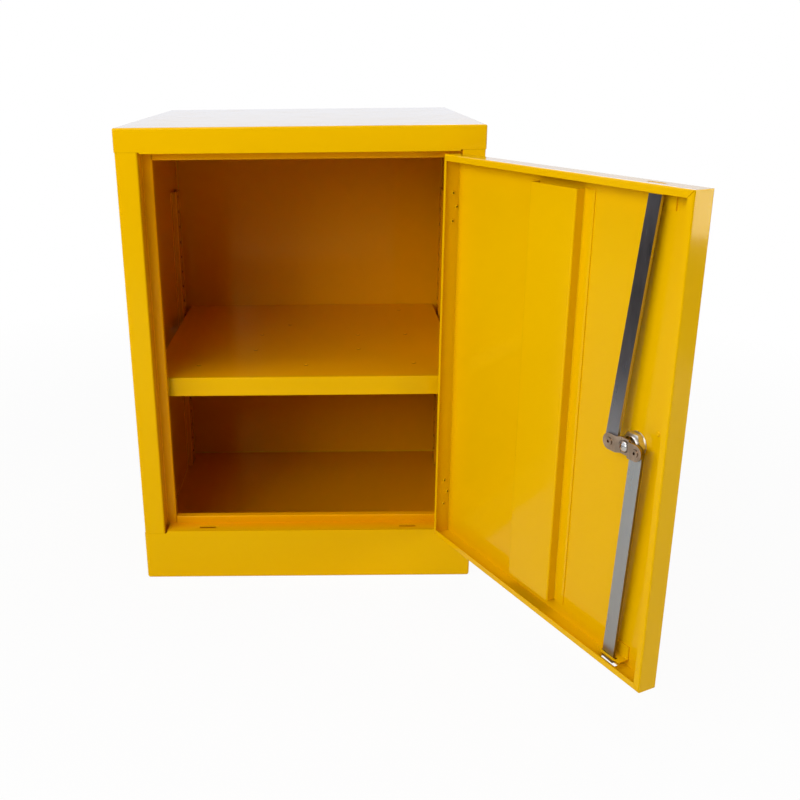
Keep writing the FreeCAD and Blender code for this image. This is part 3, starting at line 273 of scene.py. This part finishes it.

# %% [markdown]
# ## Bare steel
# The locking bars are cold-rolled flats. Their faces are dull grey steel, coloured with painted
# reflection, with a few thin scratches along the bar, and their sheared edges are bright. The
# cam plate is stamped and plated, so it is paler and warmer. The nut and the washer are pale
# zinc, and the screw, the knob and the rose are chrome. One function makes them all: two tones
# of metal, mixed by lines along the grain and by larger patches, with the same lines as shallow
# relief. It also makes the dark colours of painted shade: the lining of the punched holes, the
# discs by the welds and in the rivet heads, and the washer under the screw, which is partly
# painted shade. The dark edges
# of punched holes and the scorched paint of a weld use it too.

# %% Metals
LINE_WIDTH = 0.0005
LINE_STRETCH = (1, 1, 60)
LINE_DEPTH = 0.000001
METAL_PATCH = 0.015


def worked_metal(name, dark, light, roughness):
    """Metal of two tones whose thin lines are its relief too."""
    finish = start_finish(name, light, roughness, metallic=1.0)
    lines = grain(finish, LINE_WIDTH, 2.0, LINE_STRETCH)
    patches = grain(finish, METAL_PATCH, 3.0)
    both = math_node(finish, "ADD", math_node(finish, "MULTIPLY", lines, 0.4), patches)
    share = spread(finish, both, 0.55, 0.85, 0.0, 1.0)
    wire(finish, mix(finish, share, dark, light), "Base Color")
    wire(finish, spread(finish, patches, 0.3, 0.7, roughness * 0.8, roughness * 1.3), "Roughness")
    wire(finish, relief(finish, lines, LINE_DEPTH), "Normal")
    return finish


cam_steel = worked_metal("cam_steel", (0.32, 0.245, 0.18), (0.52, 0.395, 0.295), 0.20)
bright_zinc = worked_metal("bright_zinc", (0.42, 0.43, 0.45), (0.60, 0.61, 0.62), 0.30)
nut_zinc = worked_metal("nut_zinc", (0.66, 0.62, 0.55), (0.86, 0.83, 0.78), 0.34)
chrome = worked_metal("chrome", (0.56, 0.54, 0.51), (0.70, 0.69, 0.67), 0.10)
# Painted shade: the near-black lining of the clip holes stands in for the dark hollow behind them.
hole_shade_lining = worked_metal("hole_shade_lining", (0.030, 0.014, 0.006), (0.055, 0.025, 0.010), 0.6)
# Painted shade: dark discs by the shelf welds and in the rivet dimples.
painted_shade_coat = worked_metal("painted_shade_coat", (0.07, 0.025, 0.0), (0.12, 0.045, 0.0), 0.6)
# Partly painted shade: a dark washer whose ring stands in for the shade around the screw head.
black_steel_and_shade = worked_metal("black_steel_and_shade", (0.06, 0.05, 0.04), (0.14, 0.12, 0.10), 0.30)
brass = worked_metal("brass", (0.52, 0.38, 0.15), (0.70, 0.54, 0.25), 0.25)
print("metals:", [m.name for m in (cam_steel, bright_zinc, nut_zinc, chrome, brass)])

# %% [markdown]
# ## The two bars
# The bars hang on the inside of the door, so "along the bar" is nearly Z and their flat faces
# look the way the door's inside looks. The colours along each bar are painted reflection: the
# upper bar is darkest in the middle and lighter towards the cam and its top, the lower bar is a
# lighter grey that grows bluer upwards. On both, a face whose normal leaves the door's
# direction is a sheared edge of bright steel, and its colour carries a painted reflection too:
# gold from the paint on the upper bar, dark on the lower.

# %% Bars
DOOR_JOINT = next(j for j in frame["record"]["behaviour"]["joints"] if j["name"] == "door_swing")
DOOR_OPENING = math.radians(-DOOR_JOINT["range_deg"][0])
DOOR_FACING = Matrix.Rotation(DOOR_OPENING, 3, "Z") @ Vector((0, 1, 0))
BAR_PATCH = 0.012
SCRATCH_WIDTH = 0.0009
SCRATCH_SLANT = math.radians(2.0)
SCRATCH_DEPTH = 0.000002


def bar_steel(name, tones, scratch, cut_edge_and_reflection):
    """Tones are (height, colour) pairs from the bottom up, painted reflection along the bar."""
    finish = start_finish(name, tones[0][1], 0.32, metallic=1.0)
    place = add(finish, "TexCoord", {})
    height = add(finish, "SeparateXYZ", {"Vector": place.outputs["Object"]}).outputs["Z"]
    colour = tones[0][1]
    for (low, _), (high, tone) in zip(tones, tones[1:]):
        colour = mix(finish, spread(finish, height, low, high, 0.0, 1.0), colour, tone)
    patches = grain(finish, BAR_PATCH, 3.0, (1, 1, 4))
    colour = mix(finish, spread(finish, patches, 0.35, 0.75, 0.0, 0.25), colour, scratch)
    lines = grain(finish, SCRATCH_WIDTH, 1.0, (1, 1, 90), (0.0, SCRATCH_SLANT, 0.0))
    colour = mix(finish, spread(finish, lines, 0.70, 0.76, 0.0, 0.45), colour, scratch)
    # Faces turned from the door's direction are cut edges; their colour is steel with a painted
    # reflection in it.
    facing = add(finish, "VectorMath", {0: place.outputs["Normal"], 1: DOOR_FACING},
                 operation="DOT_PRODUCT")
    turned_away = math_node(finish, "ABSOLUTE", facing.outputs["Value"])
    edge = spread(finish, turned_away, 0.25, 0.65, 1.0, 0.0)
    wire(finish, mix(finish, edge, colour, cut_edge_and_reflection), "Base Color")
    wire(finish, spread(finish, patches, 0.3, 0.7, 0.26, 0.40), "Roughness")
    wire(finish, relief(finish, lines, SCRATCH_DEPTH), "Normal")
    return finish


# Painted reflection along the bars: the upper bar darkest in the middle, the lower bar lighter upwards.
upper_bar_steel = bar_steel("upper_bar_steel", (
    (0.325, (0.310, 0.330, 0.365)),
    (0.400, (0.115, 0.115, 0.130)),
    (0.480, (0.072, 0.068, 0.072)),
    (0.575, (0.140, 0.140, 0.152)),
), scratch=(0.26, 0.26, 0.28), cut_edge_and_reflection=(0.46, 0.40, 0.26))
lower_bar_steel = bar_steel("lower_bar_steel", (
    (0.080, (0.355, 0.372, 0.384)),
    (0.320, (0.410, 0.456, 0.490)),
), scratch=(0.52, 0.55, 0.58), cut_edge_and_reflection=(0.22, 0.19, 0.14))
print("bars: door opened by", round(math.degrees(DOOR_OPENING), 2), "degrees")

# %% [markdown]
# ## Handing the finishes out
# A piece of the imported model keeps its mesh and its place. Only what fills its material
# slots changes. Names that share a beginning share a finish.

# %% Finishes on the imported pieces
FINISH_OF = {
    "upper_rod": upper_bar_steel,
    "lower_rod": lower_bar_steel,
    "cam_plate": cam_steel,
    "pivot_rivets": cam_steel,
    "shelf_clips": bright_zinc,
    "shelf": shelf_coat,
    "hinge_pin": bright_zinc,
    "lock_": chrome,
    "turn_knob": chrome,
    "key_plug": brass,
    "door_": door_coat,
    "hinge_door": door_coat,
    "rod_guide": door_coat,
}
for name, piece in nodes.items():
    finish = next((f for start, f in FINISH_OF.items() if name.startswith(start)), carcass_coat)
    for slot in piece.material_slots:
        slot.material = finish
print("finished pieces:", len(nodes))

# %% [markdown]
# ## Making small pieces
# Every small piece below is a solid of revolution at heart, like most fasteners. The half
# outline is drawn in the XZ plane from the axis outwards and back, and spin carries it once
# round. After a spin the seam and the poles hold doubled points, so these are merged first,
# and then the faces are turned outwards.

# %% Helpers for pieces
MM = 0.001
CREASE = math.radians(35)
SAME_PLACE = 0.001 * MM


def turned(shape, outline, steps=32):
    """Spins a half outline of (radius, height) pairs in millimetres about Z."""
    points = [shape.verts.new((radius * MM, 0, height * MM)) for radius, height in outline]
    edges = [shape.edges.new(pair) for pair in zip(points, points[1:])]
    bmesh.ops.spin(shape, geom=points + edges, axis=(0, 0, 1), cent=(0, 0, 0),
                   angle=2 * math.pi, steps=steps, use_merge=True)
    bmesh.ops.remove_doubles(shape, verts=shape.verts, dist=SAME_PLACE)
    bmesh.ops.recalc_face_normals(shape, faces=shape.faces)


def keep(shape, name, finish, body):
    """Makes a bmesh a finished piece that rides on a body."""
    mesh = bpy.data.meshes.new(name)
    shape.to_mesh(mesh)
    shape.free()
    mesh.materials.append(finish)
    mesh.shade_smooth()
    mesh.set_sharp_from_angle(angle=CREASE)
    piece = bpy.data.objects.new(name, mesh)
    bpy.context.collection.objects.link(piece)
    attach(piece, body)
    print(name, len(mesh.polygons), "faces on", body)
    return piece


print("piece helpers ready")

# %% [markdown]
# ## Weld marks on the shelf
# Under the shelf run two stiffeners, and each is held by spot welds. A spot weld pinches the
# sheet, and from above it shows as a small raised ring that catches the light. A dark disc
# just before each ring is painted shade, the shade in the weld's hollow. Each is one short
# outline, spun, and set down where the welds are. Their places are the shelf's own: millimetres
# to the right of its middle, and behind the cabinet's front.

# %% Shelf weld marks
WELD_RING = ((0, 0.55), (0.7, 0.6), (1.2, 0.8), (1.7, 0.85), (2.2, 0.65), (2.6, 0.2), (2.7, -0.3),
             (0, -0.3))
# A dark disc of painted shade, a little ahead of each ring, for the shade in the weld's hollow.
WELD_SHADE_DISC = ((0, 0.12), (2.6, 0.12), (2.9, 0.04), (2.9, -0.2), (0, -0.2))
SHADE_DISC_AHEAD = 1.5
SHELF_WELDS = ((-151, 99), (-0.6, 97), (151, 102), (-76.5, 172), (75, 173), (76, 250),
               (149.5, 252), (-73, 255), (-32, 313), (150, 404))
CABINET_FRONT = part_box("base_tray")[0][1]
SHELF_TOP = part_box("shelf")[1][2]


def set_down(outline, places, steps):
    """The same spun outline at several places; a place is a matrix."""
    everything = bmesh.new()
    for where in places:
        one = bmesh.new()
        turned(one, outline, steps)
        bmesh.ops.transform(one, matrix=where, verts=one.verts)
        scrap = bpy.data.meshes.new("scrap")
        one.to_mesh(scrap)
        one.free()
        everything.from_mesh(scrap)
        bpy.data.meshes.remove(scrap)
    return everything


def on_shelf(x, depth):
    """A place on the shelf, to the right of its middle and behind the cabinet's front."""
    return Matrix.Translation((x * MM, CABINET_FRONT + depth * MM, SHELF_TOP))


shelf_places = [on_shelf(x, depth) for x, depth in SHELF_WELDS]
keep(set_down(WELD_RING, shelf_places, 16), "shelf_weld_marks", shelf_coat, "cabinet")
shade_disc_places = [on_shelf(x, depth - SHADE_DISC_AHEAD) for x, depth in SHELF_WELDS]
weld_shade_discs = set_down(WELD_SHADE_DISC, shade_disc_places, 16)
keep(weld_shade_discs, "shelf_weld_shades", painted_shade_coat, "cabinet")

# %% [markdown]
# ## Painted shade in the clip holes
# The uprights have a column of holes for the shelf clips. Each was punched, and a thin
# eight-sided ring lines every hole that holds no clip and stands a hair above the strip, as a
# punch leaves it. The ring's near-black colour is painted shade, the dark hollow seen through
# the hole.

# %% Clip hole edges
HOLE_EDGE = ((2.44, 0.14), (2.20, 0.10), (2.20, -1.10), (2.44, -1.10), (2.44, 0.14))
FIRST_HOLE = 26.0
HOLE_PITCH = 25.0
HOLES = 19
CLIP_HOLE = 9


def hole_places():
    """Every hole without a clip, with Z pointing out of its upright."""
    places = []
    for name in ("upright_front", "upright_rear"):
        for side, sign in (("_left", 1), ("_right", -1)):
            low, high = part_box(name + side)
            face = high[0] if sign > 0 else low[0]
            facing = Matrix.Rotation(sign * math.pi / 2, 4, "Y")
            for step in range(HOLES):
                if step != CLIP_HOLE:
                    height = (FIRST_HOLE + HOLE_PITCH * step) * MM
                    middle = Vector((face, (low[1] + high[1]) / 2, height))
                    places.append(Matrix.Translation(middle) @ facing)
    return places


hole_rings = set_down(HOLE_EDGE, hole_places(), 8)
keep(hole_rings, "clip_hole_shade_rings", hole_shade_lining, "cabinet")

# %% [markdown]
# ## From the closed door to the open one
# The door's fittings are easiest to place on the closed door, where its skin lies across the
# front. A turn about the hinge pin then carries them to where the open door is, as the real
# hinge does.

# %% Places on the door
HINGE_PIN = Vector(DOOR_JOINT["pos_m"])
OPEN_DOOR = (
    Matrix.Translation(HINGE_PIN)
    @ Matrix.Rotation(DOOR_OPENING, 4, "Z")
    @ Matrix.Translation(-HINGE_PIN)
)
INWARDS = Matrix.Rotation(-math.pi / 2, 4, "X")


def on_door(x, depth, z):
    """A place on the open door whose own Z points into the cabinet when the door is shut."""
    return OPEN_DOOR @ Matrix.Translation((x * MM, CABINET_FRONT + depth * MM, z * MM)) @ INWARDS


LOCK_X = -136.5
LOCK_Z = 322.0
print("lock axis at", [round(c, 4) for c in on_door(LOCK_X, 0, LOCK_Z).translation])

# %% [markdown]
# ## Cutting one solid with another
# Some shapes are quickest as two simple solids, one cut by the other: a cross recess in a
# screw, or a hexagon whose corners a lathe has rounded off. The Boolean modifier does this,
# and its result goes back into a mesh that can be edited further.

# %% Helper for cuts
def combine(shape, tool, operation):
    """Cuts or trims one bmesh with another by a Boolean modifier."""
    parts = []
    for source in (shape, tool):
        mesh = bpy.data.meshes.new("scrap")
        source.to_mesh(mesh)
        source.free()
        part = bpy.data.objects.new("scrap", mesh)
        bpy.context.collection.objects.link(part)
        parts.append(part)
    cut = parts[0].modifiers.new("cut", "BOOLEAN")
    cut.object = parts[1]
    cut.operation = operation
    cut.solver = "EXACT"
    cut.use_self = True
    result = bmesh.new()
    result.from_object(parts[0], bpy.context.evaluated_depsgraph_get())
    for part in parts:
        mesh = part.data
        bpy.data.objects.remove(part)
        bpy.data.meshes.remove(mesh)
    return result


print("cuts ready")

# %% [markdown]
# ## The screw of the cam plate
# A domed screw holds the cam plate, over a spring washer whose near-black colour is partly painted
# shade: it makes the dark ring of shade around the head.
# The dome catches the light, and a small cross recess in it takes the driver. The dome is spun
# and two tapered blades are cut out of it.

# %% Cam screw
SCREW_SEAT = 17.4
SCREW = ((0, 4.0), (1.4, 3.9), (2.8, 3.55), (4.0, 2.95), (4.9, 2.1), (5.4, 1.3), (5.5, 0.6),
         (2.5, 0.6), (2.5, -9.5), (0, -9.5))
SCREW_TOP = 4.0
CROSS_ARM = (1.9, 0.6)
CROSS_TAPER = 0.35
CROSS_DEPTH = 1.4
CROSS_CLEAR = 0.8
CROSS_TURN = 0.5


def cross_cutter():
    """Two tapered blades, crossed, with their tips in the screw."""
    cutter = bmesh.new()
    for turn in (0.0, math.pi / 2):
        blade = bmesh.ops.create_cube(cutter, size=1.0)["verts"]
        for corner in blade:
            upper = corner.co.z > 0
            share = 1.0 if upper else CROSS_TAPER
            corner.co.x *= CROSS_ARM[0] * 2 * share * MM
            corner.co.y *= CROSS_ARM[1] * share * MM
            corner.co.z = (SCREW_TOP + CROSS_CLEAR if upper else SCREW_TOP - CROSS_DEPTH) * MM
        around_z = Matrix.Rotation(turn + CROSS_TURN, 3, "Z")
        bmesh.ops.rotate(cutter, verts=blade, cent=(0, 0, 0), matrix=around_z)
    return cutter


SPRING_WASHER = ((2.7, 0.0), (6.0, 0.0), (6.2, 0.2), (6.2, 0.4), (6.0, 0.6), (2.7, 0.6), (2.7, 0.0))
spring_washer = set_down(SPRING_WASHER, [on_door(LOCK_X, SCREW_SEAT, LOCK_Z)], 40)
keep(spring_washer, "cam_spring_washer", black_steel_and_shade, "lock")
screw = bmesh.new()
turned(screw, SCREW, 40)
screw = combine(screw, cross_cutter(), "DIFFERENCE")
bmesh.ops.transform(screw, matrix=on_door(LOCK_X, SCREW_SEAT, LOCK_Z), verts=screw.verts)
cam_screw = keep(screw, "domed_cam_screw", chrome, "lock")
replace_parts(cam_screw, "cam_screw")

# %% [markdown]
# ## The lock's nut and washer
# A nut is a hexagonal bar whose ends were turned on a lathe, and that is what gives each
# corner its curved edge. So it is made the same way: a six-sided prism, trimmed by a spun
# ring with sloping ends. The ring also leaves the bore. The washer is a spun ring with
# eased edges.

# %% Lock nut and washer
NUT_FLATS = 24.0
NUT_LOW = 2.2
NUT_HIGH = 9.0
NUT_RING = ((9.45, 2.7), (9.9, 2.2), (12.2, 2.2), (14.2, 3.35), (14.2, 7.85), (12.2, 9.0),
            (9.9, 9.0), (9.45, 8.5), (9.45, 2.7))
WASHER = ((9.5, 1.0), (12.9, 1.0), (13.2, 1.25), (13.2, 1.95), (12.9, 2.2), (9.5, 2.2), (9.5, 1.0))
nut_radius = NUT_FLATS / math.sqrt(3) * MM
nut = bmesh.new()
bmesh.ops.create_cone(nut, cap_ends=True, segments=6, radius1=nut_radius, radius2=nut_radius,
                      depth=(NUT_HIGH - NUT_LOW) * MM)
bmesh.ops.translate(nut, verts=nut.verts, vec=(0, 0, (NUT_HIGH + NUT_LOW) / 2 * MM))
bmesh.ops.rotate(nut, verts=nut.verts, cent=(0, 0, 0), matrix=Matrix.Rotation(math.pi / 6, 3, "Z"))
lathe = bmesh.new()
turned(lathe, NUT_RING, 60)
nut = combine(nut, lathe, "INTERSECT")
bmesh.ops.transform(nut, matrix=on_door(LOCK_X, 0, LOCK_Z), verts=nut.verts)
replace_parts(keep(nut, "turned_lock_nut", nut_zinc, "door"), "lock_nut")
washer = set_down(WASHER, [on_door(LOCK_X, 0, LOCK_Z)], 60)
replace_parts(keep(washer, "eased_lock_washer", nut_zinc, "door"), "lock_washer")

# %% [markdown]
# ## Blind rivets of the door's hinge leaves
# The leaves are held by blind rivets, which are set from one side only: the tool pulls a pin
# through the rivet and snaps it off, and a small dimple stays in the middle of the domed
# head. The heads were painted together with the door. A dark disc in each dimple, where the pin
# broke off, is painted shade. Each rivet starts flush with the leaf's face, so that it stays
# clear of the leaf across from it.

# %% Hinge rivets
RIVET = ((0, 2.4), (1.25, 2.4), (1.35, 3.25), (1.7, 3.35), (2.3, 3.05), (2.8, 2.45), (2.85, 1.9),
         (1.6, 1.9), (1.6, 0), (0, 0))
# A dark disc of painted shade in the dimple of each head.
RIVET_DIMPLE_SHADE = ((0, 2.85), (0.7, 2.8), (1.2, 2.6), (1.2, 2.3), (0, 2.3))
LEAF_FACE = 195.4
RIVET_PLACES = ((9.4, 17.0), (4.0, 0.0), (9.4, -17.0))
HINGE_LEVELS = (514.0, 134.0)
SIDEWAYS = Matrix.Rotation(-math.pi / 2, 4, "Y")


def in_leaf(depth, height):
    """A place on the open door's hinge side, with its Z pointing into the door."""
    place = Vector((LEAF_FACE * MM, CABINET_FRONT + depth * MM, height * MM))
    return OPEN_DOOR @ Matrix.Translation(place) @ SIDEWAYS


rivet_places = [in_leaf(d, level + h) for level in HINGE_LEVELS for d, h in RIVET_PLACES]
rivets = keep(set_down(RIVET, rivet_places, 20), "blind_rivets", door_coat, "door")
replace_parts(rivets, "hinge_rivets_door")
keep(set_down(RIVET_DIMPLE_SHADE, rivet_places, 12), "blind_rivet_dimple_shades", painted_shade_coat, "door")

# %% [markdown]
# ## Thread on the lock's barrel
# The nut leaves two millimetres of thread standing. A thread is a helix, but so little of it
# shows that round ridges look the same, and they are one zigzag outline spun once.

# %% Barrel thread
THREAD_FROM = 9.0
THREAD_TO = 11.0
THREAD_PITCH = 0.5
BARREL_RADIUS = 9.4
THREAD_HEIGHT = 0.22
THREAD_PROUD = 0.02
THREAD_ROOT = 0.3
THREAD_EASE = 0.05
ridges = [(BARREL_RADIUS - THREAD_ROOT, THREAD_FROM)]
for step in range(round((THREAD_TO - THREAD_FROM) / THREAD_PITCH)):
    start = THREAD_FROM + step * THREAD_PITCH
    ridges.append((BARREL_RADIUS + THREAD_PROUD, start))
    ridges.append((BARREL_RADIUS + THREAD_HEIGHT, start + THREAD_PITCH / 2))
ridges.append((BARREL_RADIUS + THREAD_PROUD, THREAD_TO))
ridges.append((BARREL_RADIUS - THREAD_ROOT, THREAD_TO - THREAD_EASE))
ridges.append(ridges[0])
thread = bmesh.new()
turned(thread, ridges, 48)
bmesh.ops.transform(thread, matrix=on_door(LOCK_X, 0, LOCK_Z), verts=thread.verts)
keep(thread, "barrel_thread", nut_zinc, "door")

# %% [markdown]
# ## A weld mark on the door
# One weld beside the lock catches the light as a small pale dot.

# %% Door weld mark
DOOR_WELD = (-161.9, 1.0, 341.2)
door_mark = set_down(WELD_RING, [on_door(*DOOR_WELD)], 16)
keep(door_mark, "door_weld_mark", door_coat, "door")

# %% [markdown]
# ## The stage
# The photograph has a pure white surround. The floor is pale, and to the camera it mostly
# glows white, but part of it still takes real light, so that the cabinet keeps its shadow.
# Further out the glow takes over and floor and sky meet without a line. The paint mirrors
# the plain pale floor, not the glow, or it would turn milky.

# %% Floor
FLOOR_REACH = 40.0
floor_mesh = bpy.data.meshes.new("floor")
grid = bmesh.new()
bmesh.ops.create_grid(grid, x_segments=1, y_segments=1, size=FLOOR_REACH)
grid.to_mesh(floor_mesh)
grid.free()
floor = bpy.data.objects.new("floor", floor_mesh)
bpy.context.collection.objects.link(floor)

FLOOR_GREY = 0.78
GLOW_NEAR = 0.94
GLOW_RAMP = (0.6, 1.5)
pale_floor = bpy.data.materials.new("pale_floor")
pale_floor.use_nodes = True
pale_floor.node_tree.nodes.clear()
lit = add(pale_floor, "BsdfDiffuse", {"Color": (FLOOR_GREY, FLOOR_GREY, FLOOR_GREY, 1.0)})
glow = add(pale_floor, "Emission", {"Color": (1, 1, 1, 1), "Strength": 1.0})
rays = add(pale_floor, "LightPath", {})
place = add(pale_floor, "TexCoord", {})
distance = add(pale_floor, "VectorMath", {0: place.outputs["Object"]}, operation="LENGTH")
share = spread(pale_floor, distance.outputs["Value"], *GLOW_RAMP, GLOW_NEAR, 1.0)
share = math_node(pale_floor, "MULTIPLY", share, rays.outputs["Is Camera Ray"])
both = add(pale_floor, "MixShader", {0: share, 1: lit.outputs[0], 2: glow.outputs[0]})
add(pale_floor, "OutputMaterial", {"Surface": both.outputs[0]})
floor_mesh.materials.append(pale_floor)
print("floor reaches", FLOOR_REACH, "m")

# %% [markdown]
# ## Sky and lamps
# Everything that the camera sees past the floor is plain white, and mirrors see it a little
# cooler. What lights the cabinet is a dim sky and six soft boxes. Three stand in front, to
# the left, so that the front is bright and the inside falls into a deep shade. One hangs
# above, one lights the edge of the open door from the right, and one stands behind. A box can
# be kept out of mirrors, so that glossy paint shows no hard patch of it. Each box is given
# the brightness of its own face, and its power follows from its size.

# %% Sky
SKY = 0.12
MIRRORED_SKY = (0.87, 0.91, 1.0)
WHITE = (1.0, 1.0, 1.0)
sky = bpy.data.worlds.new("sky")
bpy.context.scene.world = sky
sky.use_nodes = True
sky.node_tree.nodes.clear()
rays = add(sky, "LightPath", {})
mirrored = math_node(sky, "MAXIMUM", rays.outputs["Is Glossy Ray"], rays.outputs["Is Transmission Ray"])
shown = math_node(sky, "MAXIMUM", mirrored, rays.outputs["Is Camera Ray"])
tint = mix(sky, mirrored, WHITE, MIRRORED_SKY)
level = spread(sky, shown, 0.0, 1.0, SKY, 1.0)
backdrop = add(sky, "Background", {"Color": tint, "Strength": level})
add(sky, "OutputWorld", {"Surface": backdrop.outputs[0]})
print("sky level", SKY)

# %% Lamps
def soft_box(name, place, aim, width, height, brightness, mirrored=True):
    """A rectangular lamp whose face has this brightness, where 1 is white."""
    lamp = bpy.data.lights.new(name, "AREA")
    lamp.shape = "RECTANGLE"
    lamp.size = width
    lamp.size_y = height
    lamp.energy = brightness * math.pi * width * height
    box = bpy.data.objects.new(name, lamp)
    bpy.context.collection.objects.link(box)
    box.location = place
    box.rotation_euler = (Vector(aim) - Vector(place)).to_track_quat("-Z", "Y").to_euler()
    box.visible_camera = False
    box.visible_glossy = mirrored
    return box


CENTRE = Vector((0.0, -0.2, 0.38))
DOOR_EDGE = (0.37, -0.58, 0.5)
FRONT_DISTANCE = 2.1
FRONT_SIZE = (0.7, 0.9)


def around(turn, rise, distance):
    """A place seen from the cabinet's middle: degrees to the right of straight ahead, then up."""
    turn, rise = math.radians(turn), math.radians(rise)
    ahead = distance * math.cos(rise)
    return CENTRE + Vector((ahead * math.sin(turn), -ahead * math.cos(turn), distance * math.sin(rise)))


soft_box("left_box", around(-58, 28, FRONT_DISTANCE), CENTRE, *FRONT_SIZE, 6.4, mirrored=False)
soft_box("key_box", around(-35, 20, FRONT_DISTANCE), CENTRE, *FRONT_SIZE, 6.4, mirrored=False)
soft_box("front_box", around(-18, 25, FRONT_DISTANCE), CENTRE, *FRONT_SIZE, 4.2)
soft_box("top_box", (0.0, -0.4, 2.8), CENTRE, 1.6, 1.6, 2.8)
soft_box("edge_box", (1.81, -0.98, 0.58), DOOR_EDGE, 0.5, 0.6, 10.5)
soft_box("rear_box", (0.9, 2.0, 1.7), CENTRE, 1.2, 1.2, 3.0)

# %% [markdown]
# ## Last steps
# Colours are shown as they are, with no film curve.

# %% Finish
bpy.context.scene.view_settings.view_transform = "Standard"
